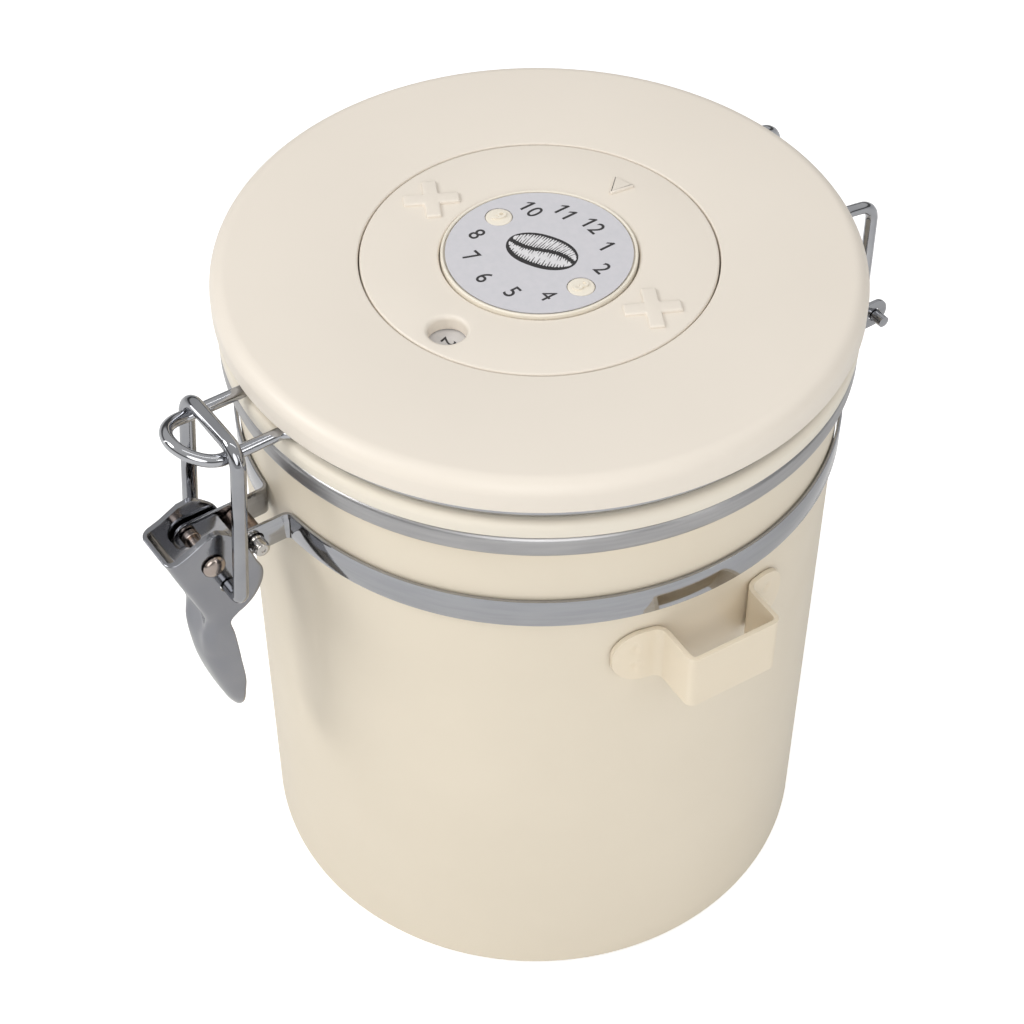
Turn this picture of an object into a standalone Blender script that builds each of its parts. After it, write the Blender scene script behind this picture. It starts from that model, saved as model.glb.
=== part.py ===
"""Clamp-lid coffee canister with a date dial in its lid, at its real size.

Metres, +Z up, origin at the middle of the base. The latch is at -Y, the hinge at +Y and the
spoon bracket near +X. Sizes that are heights or radii follow from the can's own height and radius.
"""

import math

import bmesh
import bpy
from mathutils import Vector

MM = 0.001

# Common values
CLEAR = 0.3 * MM
WELD = 0.0005 * MM
OVERRUN = 2.0 * MM
ROUND_STEPS = 48
DIAL_STEPS = 40
SMALL_STEPS = 16
BEND_STEPS = 4
WIRE_RESOLUTION = 2
SHARPEST_MITRE_SHARE = 0.5

# Can
BODY_HEIGHT = 136.2 * MM
BODY_R = 59.4 * MM
BODY_TAPER = 0.2 * MM
BODY_WALL = 0.6 * MM
BASE_EDGE_R = 1.5 * MM
RIM_R = 1.5 * MM

# Clamp band and its ears
BAND_DROP = 18.0 * MM
BAND_HEIGHT = 6.4 * MM
BAND_T = 0.7 * MM
BAND_BEND_R = 1.4 * MM
EAR_SPACING = 8.0 * MM
EAR_REACH = 17.2 * MM

# Clamp pin and its sleeve
PIN_OUT = 7.1 * MM
PIN_R = 1.6 * MM
PIN_NEAR = 7.5 * MM
PIN_FAR = 5.7 * MM
PIN_END_R = 0.5 * MM
SLEEVE_WALL = 0.6 * MM

# Lever rivet
RIVET_UP = 0.4 * MM
RIVET_R = 1.2 * MM
RIVET_HEAD_R = 2.35 * MM
RIVET_HEAD_H = 1.1 * MM
RIVET_COLLAR_R = 1.75 * MM
RIVET_COLLAR_L = 1.5 * MM

# Latch lever
LEVER_T = 1.0 * MM
LEVER_INSIDE = 9.8 * MM
LEVER_HEAD_DEPTH = 18.2 * MM
LEVER_HEAD_HEIGHT = 21.3 * MM
LEVER_TONGUE_LENGTH = 30.7 * MM
LEVER_CORNER_R = 1.6 * MM
LEVER_CORNER_SHARE = 0.9
LEVER_INNER_CORNER_SHARE = 0.2
LEVER_CREST = 2.05 * MM
LEVER_DISH = 0.6 * MM
LEVER_TIP_WALL = 0.05 * MM
LEVER_PIVOT_SHARES = (0.522, 0.667)
WEB_SHARES = (
    (1.017, 0.850),
    (0.959, 0.714),
    (0.907, 0.587),
    (0.852, 0.456),
    (0.797, 0.334),
    (0.747, 0.216),
    (0.703, 0.108),
    (0.665, 0.010),
    (0.635, -0.084),
    (0.618, -0.183),
)
CHEEK_SHARES = (
    (0.305, 0.939),
    (0.154, 0.803),
    (0.091, 0.653),
    (0.022, 0.475),
    (-0.033, 0.348),
    (-0.011, 0.207),
    (0.088, 0.066),
    (0.203, -0.014),
    (0.313, -0.061),
    (0.401, -0.136),
)
TONGUE_SHARES = (
    (-0.003, 0.098),
    (-0.007, 0.221),
    (-0.018, 0.352),
    (-0.037, 0.482),
    (-0.062, 0.596),
    (-0.093, 0.726),
    (-0.132, 0.857),
    (-0.207, 1.000),
)
TONGUE_EDGE_SHARES = (
    (-0.145, 0.081),
    (-0.158, 0.221),
    (-0.168, 0.352),
    (-0.181, 0.479),
    (-0.189, 0.583),
    (-0.184, 0.697),
    (-0.187, 0.821),
    (-0.233, 0.980),
)
WALL_SHARES = (1.0, 0.85, 0.7, 0.45)
TONGUE_TAPER_POWER = 3.6
TONGUE_TIP_SHARE = 0.955
SHEET_STEPS = 2

# Bail
BAIL_WIRE_R = 1.5 * MM
BAIL_LEG_SPACING = 20.2 * MM
BAIL_LEAN = 0.6 * MM
BAIL_PIVOT_IN = 2.6 * MM
BAIL_PIVOT_DOWN = 6.6 * MM
BAIL_STUB_END = 4.6 * MM
BAIL_BAR_OUT = 12.2 * MM
BAIL_HOOK_GAP = 1.2 * MM
BAIL_TOP_BEND_R = 4.0 * MM
BAIL_FOOT_BEND_R = 1.9 * MM

# Lid wire: groove ring, catch loop in front, hinge arms behind
LID_WIRE_R = 1.25 * MM
LID_WIRE_INSET = 3.1 * MM
CATCH_WIDTH = 13.6 * MM
CATCH_OUT = 13.6 * MM
CATCH_RISE = 2.3 * MM
CATCH_RISE_POWER = 1.5
WIRE_BEND_R = 3.4 * MM
HINGE_ARM_SPACING = 31.0 * MM
HINGE_OUT = 11.8 * MM
HINGE_DOWN = 0.8 * MM
HINGE_ARM_LEVEL = 4.6 * MM
HINGE_SHOULDER_OUT = 11.4 * MM
HINGE_SHOULDER_DROP = 1.1 * MM
HINGE_SHOULDER_BEND_R = 4.5 * MM
HINGE_FOOT_BEND_R = 2.0 * MM
HINGE_PIN_SPAN = 45.6 * MM

# Hinge bracket
BRACKET_T = 0.8 * MM
BRACKET_EAR_SPACING = 39.0 * MM
BRACKET_BEND_R = 1.2 * MM
BRACKET_DROP = 0.6 * MM

# Lid mouldings
LID_RING_OVER = 0.1 * MM
LID_FLANGE_OVER = 0.7 * MM
LID_RING_H = 3.35 * MM
LID_RING_EDGE_R = 1.4 * MM
LID_RING_FOOT_R = 0.4 * MM
LID_FLANGE_H = 6.9 * MM
LID_FLANGE_LIP = 0.15 * MM
LID_TOP_EDGE_R = 3.2 * MM
LID_UNDER_EDGE_R = 0.9 * MM
LID_SHELL_T = 2.8 * MM
LID_RIM_WIDTH = 12.5 * MM
LID_WELL_T = 2.15 * MM
LID_PLATE_T = 2.3 * MM
PLUG_INSET = 4.3 * MM
PLUG_T = 2.0 * MM
PLUG_DEPTH = 3.0 * MM

# Gasket
GASKET_SKIRT_T = 0.8 * MM
GASKET_LIP_OUT = 1.5 * MM
GASKET_T = 1.9 * MM
GASKET_EDGE_R = 0.5 * MM

# Dials
DIAL_WELL_DEPTH = 4.0 * MM
DIAL_WELL_R = 34.35 * MM
DIAL_WELL_EDGE_R = 0.3 * MM
DIAL_FLOOR_T = 2.4 * MM
DAY_RING_T = 0.5 * MM
DAY_RING_INNER_R = 19.4 * MM
DAY_DISC_EDGE_R = 0.35 * MM
DAY_LEDGE_T = 0.8 * MM
MONTH_DIAL_R = 18.75 * MM
MONTH_PLATE_T = 1.8 * MM
MONTH_RIM_H = 0.6 * MM
MONTH_RIM_T = 0.6 * MM
MONTH_RIM_EDGE_R = 0.25 * MM
MONTH_HUB_R = 6.0 * MM
MONTH_BORE_SHARE = 0.8
NUB_R = 2.6 * MM
NUB_H = 0.9 * MM
NUB_EDGE_R = 0.35 * MM
NUB_INSET = 5.85 * MM
LABEL_T = 0.2 * MM
DAY_DISC_TURN = 17.8
PLUS_TURN = 45.0
WINDOW_R_SHARE = 0.24
WINDOW_AT_SHARE = 0.578
WINDOW_EDGE_R = 0.7 * MM
MARK_H = 0.6 * MM
MARK_SINK = 0.5 * MM
MARK_EDGE_R = 0.4 * MM
PLUS_AT_SHARE = 0.4833
PLUS_SIZE_SHARE = 0.7133
PLUS_BAR = 2.7 * MM
ARROW_AT_SHARE = 0.45
ARROW_WIDTH_SHARE = 0.28
ARROW_LENGTH_SHARE = 0.3067
ARROW_BACK_SHARE = 0.333
SCREW_R = 1.5 * MM
SCREW_HEAD_R = 3.2 * MM
SCREW_HEAD_H = 0.9 * MM
SCREW_LENGTH = 6.6 * MM
WASHER_R = 5.5 * MM
WASHER_T = 0.5 * MM

# Valve under the lid
VALVE_BOSS_R = 12.0 * MM
VALVE_BOSS_T = 1.5 * MM
VALVE_BOSS_H = 5.2 * MM
VALVE_VENT_R = 1.2 * MM
VALVE_VENT_AT = 5.0 * MM
VALVE_VENTS = 4
FLAP_R = 8.5 * MM
FLAP_T = 0.8 * MM
FLAP_STEM_R = 1.2 * MM
FLAP_STEM_L = 2.3 * MM
FILTER_T = 1.2 * MM
CAP_T = 1.4 * MM
CAP_HOLE_R = 1.1 * MM
CAP_HOLE_AT = 6.5 * MM
CAP_HOLES = 6

# Spoon bracket
SPOON_TURN = -2.9
SPOON_Z = 100.3 * MM
SPOON_HEIGHT = 13.0 * MM
SPOON_T = 0.9 * MM
SPOON_WIDTH = 20.3 * MM
SPOON_OUT = 10.5 * MM
SPOON_BEND_R = 1.3 * MM
SPOON_FOOT_BEND_R = 2.4 * MM
SPOON_TAB_ANGLE = 18.8
SPOON_TAB_R = 6.0 * MM

# Heights and radii that follow from the values above
mouth_r = BODY_R - BODY_WALL
rim_r = mouth_r + 2 * RIM_R
band_top = BODY_HEIGHT - BAND_DROP
band_bottom = band_top - BAND_HEIGHT
band_middle = band_bottom + BAND_HEIGHT / 2
band_inner_r = BODY_R + CLEAR
band_outer_r = band_inner_r + BAND_T
pivot_r = BODY_R + EAR_REACH + BAND_T
pivot_z = band_middle + RIVET_UP
pin_r = band_outer_r + PIN_OUT
bail_pivot_r = pivot_r - BAIL_PIVOT_IN
bail_pivot_z = pivot_z - BAIL_PIVOT_DOWN
ear_face = EAR_SPACING / 2 + BAND_T / 2
cheek_inner = LEVER_INSIDE / 2
cheek_outer = cheek_inner + LEVER_T
hinge_r = BODY_R + HINGE_OUT
hinge_z = band_middle - HINGE_DOWN
bracket_middle = band_middle - BRACKET_DROP

lid_bottom = BODY_HEIGHT + CLEAR
lid_ring_r = rim_r + LID_RING_OVER
flange_r = rim_r + LID_FLANGE_OVER
lid_rib_r = flange_r - LID_RIM_WIDTH
plug_r = mouth_r - PLUG_INSET
gasket_lip_r = plug_r + GASKET_LIP_OUT
lid_wire_r = flange_r - LID_WIRE_INSET
lid_wire_z = lid_bottom + LID_RING_H + CLEAR + LID_WIRE_R
groove_r = LID_WIRE_R + CLEAR
plate_top = lid_wire_z - CLEAR / 2
plate_bottom = plate_top - LID_PLATE_T
filter_top = plate_bottom - CLEAR - FLAP_T - CLEAR
shell_bottom = lid_wire_z + CLEAR / 2
flange_bottom = lid_wire_z + groove_r + LID_FLANGE_LIP
lid_top = flange_bottom + LID_FLANGE_H
well_floor = lid_top - DIAL_WELL_DEPTH
well_under = well_floor - DIAL_FLOOR_T
day_disc_bottom = well_floor + CLEAR + DAY_RING_T + CLEAR
month_dial_bottom = day_disc_bottom + DAY_LEDGE_T + CLEAR
label_seat = month_dial_bottom + MONTH_PLATE_T
nub_at = MONTH_DIAL_R - NUB_INSET
face_inner_r = MONTH_DIAL_R + CLEAR
face_outer_r = DIAL_WELL_R - CLEAR
face_width = face_outer_r - face_inner_r
window_r = face_width * WINDOW_R_SHARE
window_at = face_inner_r + face_width * WINDOW_AT_SHARE
plus_at = face_inner_r + face_width * PLUS_AT_SHARE
plus_size = face_width * PLUS_SIZE_SHARE
arrow_at = face_inner_r + face_width * ARROW_AT_SHARE
arrow_width = face_width * ARROW_WIDTH_SHARE
arrow_length = face_width * ARROW_LENGTH_SHARE
bail_bar_z = lid_wire_z + LID_WIRE_R + BAIL_WIRE_R + BAIL_HOOK_GAP
bail_bar_r = BODY_R + BAIL_BAR_OUT
catch_arm_r = BODY_R + CATCH_OUT


def linear(level):
    """Linear value of an 8-bit colour level."""
    share = level / 255
    return share / 12.92 if share <= 0.04045 else ((share + 0.055) / 1.055) ** 2.4


def look(name, colour, roughness, metallic):
    material = bpy.data.materials.new(name)
    material.use_nodes = True
    shader = material.node_tree.nodes["Principled BSDF"]
    shader.inputs["Base Color"].default_value = (*(linear(c) for c in colour), 1.0)
    shader.inputs["Roughness"].default_value = roughness
    shader.inputs["Metallic"].default_value = metallic
    return material


def arc(centre, radius, start, end, steps):
    """Points on a circle, with the angles in degrees."""
    angles = [math.radians(start + (end - start) * i / steps) for i in range(steps + 1)]
    return [(centre[0] + radius * math.cos(a), centre[1] + radius * math.sin(a)) for a in angles]


def rounded_path(points, radii, closed=False):
    """A path with a round bend at each corner, radii giving one radius for each point."""
    path = []
    points = [Vector(p) for p in points]
    for i, corner in enumerate(points):
        ends = not closed and i in (0, len(points) - 1)
        if ends or radii[i] == 0:
            path.append(corner)
            continue
        before = (points[i - 1] - corner)
        after = (points[(i + 1) % len(points)] - corner)
        half = before.angle(after) / 2
        cut = min(radii[i] / math.tan(half), before.length / 2, after.length / 2)
        middle = corner + (before.normalized() + after.normalized()).normalized() * cut / math.cos(half)
        start = corner + before.normalized() * cut - middle
        end = corner + after.normalized() * cut - middle
        sweep = start.angle(end)
        for j in range(BEND_STEPS + 1):
            share = j / BEND_STEPS
            a = math.sin((1 - share) * sweep) / math.sin(sweep)
            b = math.sin(share * sweep) / math.sin(sweep)
            path.append(middle + start * a + end * b)
    return path


def smooth_curve(points, steps):
    """Catmull-Rom curve through all the points."""
    points = [Vector(p) for p in points]
    padded = [2 * points[0] - points[1], *points, 2 * points[-1] - points[-2]]
    curve = []
    for i in range(1, len(padded) - 2):
        p0, p1, p2, p3 = padded[i - 1 : i + 3]
        for j in range(steps):
            t = j / steps
            curve.append(
                (2 * p1 + (p2 - p0) * t + (2 * p0 - 5 * p1 + 4 * p2 - p3) * t**2
                 + (3 * p1 - p0 - 3 * p2 + p3) * t**3) / 2
            )
    curve.append(points[-1])
    return curve


def ring_corner(ring_r, arm_x, bend_r, ring_outside):
    """Bend from an arm at x = arm_x, pointing to +Y, into a ring round the origin.

    Returns the points from arm to ring and the ring angle where the bend ends.
    """
    centre_x = arm_x + bend_r if ring_outside else arm_x - bend_r
    centre_y = math.sqrt((ring_r + bend_r) ** 2 - centre_x**2)
    angle = math.degrees(math.atan2(centre_y, centre_x))
    start, end = (180, 180 + angle) if ring_outside else (0, angle - 180)
    return arc((centre_x, centre_y), bend_r, start, end, BEND_STEPS), angle


def strip_outline(path, thickness):
    """Closed outline of a bent strip whose middle runs along the path."""
    path = [Vector(p) for p in path]
    sides = ([], [])
    for i, point in enumerate(path):
        before = (point - path[i - 1]).normalized() if i else (path[1] - point).normalized()
        after = (path[i + 1] - point).normalized() if i < len(path) - 1 else before
        along = (before + after).normalized()
        across = Vector((-along.y, along.x)) / max(along.dot(before), SHARPEST_MITRE_SHARE)
        sides[0].append(point + across * thickness / 2)
        sides[1].append(point - across * thickness / 2)
    return sides[0] + sides[1][::-1]


def add_object(name, data, material=None):
    obj = bpy.data.objects.new(name, data)
    bpy.context.scene.collection.objects.link(obj)
    if material:
        data.materials.append(material)
    return obj


def as_mesh(name, work, material=None, sharp=35):
    """Object from a bmesh, facing out and shaded smooth up to the given angle."""
    bmesh.ops.remove_doubles(work, verts=work.verts, dist=WELD)
    bmesh.ops.recalc_face_normals(work, faces=work.faces)
    mesh = bpy.data.meshes.new(name)
    work.to_mesh(mesh)
    work.free()
    mesh.shade_smooth()
    mesh.set_sharp_from_angle(angle=math.radians(sharp))
    return add_object(name, mesh, material)


def lathe(name, profile, material=None, steps=ROUND_STEPS, axis="Z"):
    """Turn a closed (radius, height) outline round the axis. An edge on the axis makes no face."""
    work = bmesh.new()
    place = {"Z": lambda r, h: (r, 0, h), "X": lambda r, h: (h, r, 0)}[axis]
    verts = [work.verts.new(place(r, h)) for r, h in profile]
    edges = [
        work.edges.new((a, b))
        for a, b, (ra, _), (rb, _) in zip(verts, verts[1:] + verts[:1], profile, profile[1:] + profile[:1])
        if ra > 0 or rb > 0
    ]
    turn = {"Z": (0, 0, 1), "X": (1, 0, 0)}[axis]
    bmesh.ops.spin(
        work, geom=verts + edges, cent=(0, 0, 0), axis=turn, angle=2 * math.pi, steps=steps, use_merge=True
    )
    return as_mesh(name, work, material)


def prism(name, outline, start, end, axis, material=None, top_edge_r=0):
    """Extrude a closed outline along an axis: X takes (y, z) points, Y (x, z) and Z (x, y)."""
    place = {
        "X": lambda u, v: (start, u, v),
        "Y": lambda u, v: (u, start, v),
        "Z": lambda u, v: (u, v, start),
    }[axis]
    direction = {"X": Vector((1, 0, 0)), "Y": Vector((0, 1, 0)), "Z": Vector((0, 0, 1))}[axis]
    work = bmesh.new()
    face = work.faces.new([work.verts.new(place(*p)) for p in outline])
    grown = bmesh.ops.extrude_face_region(work, geom=[face])["geom"]
    top = [v for v in grown if isinstance(v, bmesh.types.BMVert)]
    bmesh.ops.translate(work, verts=top, vec=direction * (end - start))
    if top_edge_r:
        rim = [e for e in work.edges if all(v in top for v in e.verts)]
        bmesh.ops.bevel(work, geom=rim, offset=top_edge_r, segments=2, profile=0.5, affect="EDGES")
    return as_mesh(name, work, material)


def wire(name, path, radius, material):
    curve = bpy.data.curves.new(name, "CURVE")
    curve.dimensions = "3D"
    curve.bevel_depth = radius
    curve.bevel_resolution = WIRE_RESOLUTION
    curve.use_fill_caps = True
    spline = curve.splines.new("POLY")
    spline.points.add(len(path) - 1)
    for point, place in zip(spline.points, path):
        point.co = (*place, 1)
    return add_object(name, curve, material)


def combine(target, other, operation):
    """Keep the other shape as a hidden guide of a Boolean on the target."""
    modifier = target.modifiers.new(other.name, "BOOLEAN")
    modifier.operation = operation
    modifier.solver = "EXACT"
    modifier.object = other
    other.hide_render = True
    other.display_type = "WIRE"


def drill(target, name, radius, place, axis, half_length, steps=SMALL_STEPS):
    """Round hole through the target, centred at a place."""
    profile = [(0, -half_length), (radius, -half_length), (radius, half_length), (0, half_length)]
    tool = lathe(name, profile, steps=steps, axis=axis)
    tool.location = place
    combine(target, tool, "DIFFERENCE")


def pivot(name, place):
    empty = bpy.data.objects.new(name, None)
    bpy.context.scene.collection.objects.link(empty)
    empty.location = place
    return empty


def attach(parent, *children):
    """Hang objects on a pivot without moving them."""
    for child in children:
        child.parent = parent
        child.location = child.location - parent.location


def canister_body(material):
    base_r = BODY_R - BODY_TAPER
    rim_centre = (mouth_r + RIM_R, BODY_HEIGHT - RIM_R)
    neck = math.degrees(math.acos((rim_centre[0] - BODY_R) / RIM_R))
    inner_edge_r = BASE_EDGE_R - BODY_WALL
    profile = [(0, 0)]
    profile += arc((base_r - BASE_EDGE_R, BASE_EDGE_R), BASE_EDGE_R, -90, 0, 2)
    profile += arc(rim_centre, RIM_R, neck - 180, 180, 9)
    profile += arc((base_r - BASE_EDGE_R, BASE_EDGE_R), inner_edge_r, 0, -90, 1)
    profile += [(0, BODY_WALL)]
    return lathe("canister_body", profile, material)


def round_ended_side(name, out, height_middle, height, far, sign):
    """Side view of a strip whose ears end in a half circle, as a prism across the whole width."""
    ends = arc((out, height_middle), height / 2, -90, 90, 10)
    outline = [(-far, height_middle - height / 2), *ends, (-far, height_middle + height / 2)]
    return prism(name, [(sign * y, z) for y, z in outline], -far, far, "X")


def clamp_band(material):
    ring = band_inner_r + BAND_T / 2
    corner, angle = ring_corner(ring, EAR_SPACING / 2, BAND_BEND_R, True)
    reach = pivot_r + BAND_HEIGHT
    path = [(-EAR_SPACING / 2, -reach)]
    path += [(-x, -y) for x, y in corner[:-1]]
    path += arc((0, 0), ring, 180 + angle, -angle, ROUND_STEPS)
    path += [(x, -y) for x, y in corner[-2::-1]]
    path += [(EAR_SPACING / 2, -reach)]
    low, high = band_bottom - OVERRUN, band_top + OVERRUN
    band = prism("clamp_band", strip_outline(path, BAND_T), low, high, "Z", material)
    side = round_ended_side("band_side", pivot_r, band_middle, BAND_HEIGHT, BODY_R + band_outer_r, -1)
    combine(band, side, "INTERSECT")
    half = ear_face + OVERRUN
    drill(band, "band_pin_hole", PIN_R + CLEAR, (0, -pin_r, band_middle), "X", half)
    drill(band, "band_rivet_hole", RIVET_R + CLEAR, (0, -pivot_r, pivot_z), "X", half)
    return band


def clamp_pin(material):
    profile = [(0, -PIN_FAR)]
    profile += arc((PIN_R - PIN_END_R, PIN_END_R - PIN_FAR), PIN_END_R, -90, 0, 3)
    profile += arc((PIN_R - PIN_END_R, PIN_NEAR - PIN_END_R), PIN_END_R, 0, 90, 3)
    profile += [(0, PIN_NEAR)]
    pin = lathe("clamp_pin", profile, material, SMALL_STEPS, "X")
    pin.location = (0, -pin_r, band_middle)
    return pin


def clamp_sleeve(material):
    inner = PIN_R + CLEAR
    outer = inner + SLEEVE_WALL
    half = EAR_SPACING / 2 - BAND_T / 2 - CLEAR
    profile = [(inner, -half), (outer, -half), (outer, half), (inner, half)]
    sleeve = lathe("clamp_sleeve", profile, material, SMALL_STEPS, "X")
    sleeve.location = (0, -pin_r, band_middle)
    return sleeve


def lever_rivet(material):
    head = cheek_outer + CLEAR
    collar = EAR_SPACING / 2 - BAND_T / 2 - CLEAR
    dome = [
        (RIVET_HEAD_R * math.cos(a), RIVET_HEAD_H * math.sin(a))
        for a in (math.pi / 2 * i / BEND_STEPS for i in range(BEND_STEPS + 1))
    ]
    dome[-1] = (0, RIVET_HEAD_H)
    profile = [(r, -head - h) for r, h in dome[::-1]]
    profile += [(RIVET_R, -head), (RIVET_R, -collar), (RIVET_COLLAR_R, -collar)]
    profile += [(RIVET_COLLAR_R, RIVET_COLLAR_L - collar), (RIVET_R, RIVET_COLLAR_L - collar)]
    profile += [(RIVET_R, head)] + [(r, head + h) for r, h in dome]
    rivet = lathe("lever_rivet", profile, material, SMALL_STEPS, "X")
    rivet.location = (0, -pivot_r, pivot_z)
    return rivet


def lever_place(share_out, share_up):
    """(out, up) of a point of the lever's head, measured from the rivet."""
    out = (share_out - LEVER_PIVOT_SHARES[0]) * LEVER_HEAD_DEPTH
    up = (share_up - LEVER_PIVOT_SHARES[1]) * LEVER_HEAD_HEIGHT
    return out, up


def crest_rise(share):
    """Rise of the channel's top edge over its chord, from 0 at the web to 0 at the cheek's back."""
    return LEVER_CREST * share**3 * (1 - share) * 256 / 27


def channel_section(half, depth, dish, crest):
    """(across, inward, rise) points of the pressed channel: the outer face, then the inner face."""
    bend = min(LEVER_CORNER_R, depth * LEVER_CORNER_SHARE, half * LEVER_CORNER_SHARE)
    inner_bend = max(bend - LEVER_T, LEVER_T * LEVER_INNER_CORNER_SHARE)
    inner_bend = min(inner_bend, (depth - LEVER_T) * LEVER_CORNER_SHARE)
    faces = []
    for side, floor, bend_r in ((half, 0, bend), (half - LEVER_T, LEVER_T, inner_bend)):
        start = floor + bend_r
        points = [(side, start + (depth - start) * share) for share in WALL_SHARES]
        points += [(x, start - y) for x, y in arc((side - bend_r, 0), bend_r, 0, 90, 2)]
        points += [((side - bend_r) / 2, floor + dish * 3 / 4)]
        whole = points + [(0, floor + dish)] + [(-x, y) for x, y in points[::-1]]
        faces.append([(x, y, crest * crest_rise(y / depth)) for x, y in whole])
    return faces


def lever_channel(name, material):
    """Web, cheeks and thumb tongue as one bent sheet, lofted through sections from top to tip."""
    web = [Vector(lever_place(*share)) for share in WEB_SHARES]
    edge = [Vector(lever_place(*share)) for share in CHEEK_SHARES]
    root = web[-1]
    for line, shares in ((web, TONGUE_SHARES), (edge, TONGUE_EDGE_SHARES)):
        line += [root + Vector((out, -down)) * LEVER_TONGUE_LENGTH for out, down in shares]
    web = smooth_curve(web, SHEET_STEPS)
    edge = smooth_curve(edge, SHEET_STEPS)
    head_steps = (len(WEB_SHARES) - 1) * SHEET_STEPS
    work = bmesh.new()
    rings = []
    for i, (near, far) in enumerate(zip(web, edge)):
        share = max(i - head_steps, 0) / (len(web) - 1 - head_steps)
        taper = math.sqrt(1 - (share * TONGUE_TIP_SHARE) ** TONGUE_TAPER_POWER)
        depth = max((far - near).length, LEVER_T + LEVER_TIP_WALL)
        inward = (far - near).normalized()
        up = Vector((inward.y, -inward.x))
        dish = LEVER_DISH * min(i / head_steps, 1) * taper
        section = channel_section(cheek_outer * taper, depth, dish, 1 if i == 0 else 0)
        ring = []
        for face in section:
            places = [(x, near + inward * y + up * rise) for x, y, rise in face]
            ring.append([work.verts.new((x, -place.x, place.y)) for x, place in places])
        rings.append(ring)
    for (outer, inner), (next_outer, next_inner) in zip(rings, rings[1:]):
        low = outer + inner[::-1]
        high = next_outer + next_inner[::-1]
        for j in range(len(low)):
            k = (j + 1) % len(low)
            work.faces.new((low[j], low[k], high[k], high[j]))
    for outer, inner in (rings[0], rings[-1]):
        for j in range(len(outer) - 1):
            work.faces.new((outer[j], outer[j + 1], inner[j + 1], inner[j]))
    return as_mesh(name, work, material)


def latch_lever(material):
    lever = lever_channel("latch_lever", material)
    lever.location = (0, -pivot_r, pivot_z)
    half = cheek_outer + OVERRUN
    drill(lever, "lever_rivet_hole", RIVET_R + CLEAR, (0, -pivot_r, pivot_z), "X", half)
    place = (0, -bail_pivot_r, bail_pivot_z)
    drill(lever, "lever_bail_hole", BAIL_WIRE_R + CLEAR, place, "X", half)
    return lever


def bail_wire(material):
    leg = BAIL_LEG_SPACING / 2
    foot = (-bail_pivot_r, bail_pivot_z)
    bar = (-bail_bar_r, bail_bar_z)
    corners = [
        (-BAIL_STUB_END, *foot),
        (BAIL_LEAN - leg, *foot),
        (-leg, *bar),
        (leg, *bar),
        (BAIL_LEAN + leg, *foot),
        (BAIL_STUB_END, *foot),
    ]
    bends = [0, BAIL_FOOT_BEND_R, BAIL_TOP_BEND_R, BAIL_TOP_BEND_R, BAIL_FOOT_BEND_R, 0]
    return wire("bail_wire", rounded_path(corners, bends), BAIL_WIRE_R, material)


def lid_wire(material):
    """One wire: hinge pin, arm, groove ring, catch loop, and back the same way."""
    arm = HINGE_ARM_SPACING / 2
    catch = CATCH_WIDTH / 2
    rear, rear_angle = ring_corner(lid_wire_r, arm, WIRE_BEND_R, True)
    front, front_angle = ring_corner(lid_wire_r, catch, WIRE_BEND_R, True)
    level = lid_wire_r + HINGE_ARM_LEVEL
    shoulder = (BODY_R + HINGE_SHOULDER_OUT, lid_wire_z - HINGE_SHOULDER_DROP)
    corners = [
        (HINGE_PIN_SPAN / 2, hinge_r, hinge_z),
        (arm, hinge_r, hinge_z),
        (arm, *shoulder),
        (arm, level, lid_wire_z),
        (arm, rear[0][1], lid_wire_z),
    ]
    bends = [0, HINGE_FOOT_BEND_R, HINGE_SHOULDER_BEND_R, HINGE_SHOULDER_BEND_R, 0]
    half = [tuple(p) for p in rounded_path(corners, bends)]
    half += [(x, y, lid_wire_z) for x, y in rear[1:-1]]
    half += [(x, y, lid_wire_z) for x, y in arc((0, 0), lid_wire_r, rear_angle, -front_angle, 22)]
    half += [(x, -y, lid_wire_z) for x, y in front[-2::-1]]
    for i in range(8):
        turn = math.pi / 2 * i / 8
        out = catch_arm_r + catch * math.sin(turn)
        up = lid_wire_z + CATCH_RISE * math.sin(turn) ** CATCH_RISE_POWER
        half.append((catch * math.cos(turn), -out, up))
    tip = (0, -catch_arm_r - catch, lid_wire_z + CATCH_RISE)
    path = half + [tip] + [(-x, y, z) for x, y, z in half[::-1]]
    return wire("lid_wire", path, LID_WIRE_R, material)


def hinge_bracket(material):
    ring = band_outer_r + CLEAR + BRACKET_T / 2
    ear = BRACKET_EAR_SPACING / 2
    corner, angle = ring_corner(ring, ear, BRACKET_BEND_R, False)
    reach = hinge_r + BAND_HEIGHT
    path = [(ear, reach)] + corner[:-1]
    path += arc((0, 0), ring, angle, 180 - angle, 12)
    path += [(-x, y) for x, y in corner[-2::-1]] + [(-ear, reach)]
    over = BAND_HEIGHT / 2 + OVERRUN
    low, high = bracket_middle - over, bracket_middle + over
    bracket = prism("hinge_bracket", strip_outline(path, BRACKET_T), low, high, "Z", material)
    side = round_ended_side("bracket_side", hinge_r, bracket_middle, BAND_HEIGHT, 2 * BODY_R, 1)
    combine(bracket, side, "INTERSECT")
    half = ear + BRACKET_T / 2 + OVERRUN
    drill(bracket, "bracket_pin_hole", LID_WIRE_R + CLEAR, (0, hinge_r, hinge_z), "X", half)
    return bracket


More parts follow.
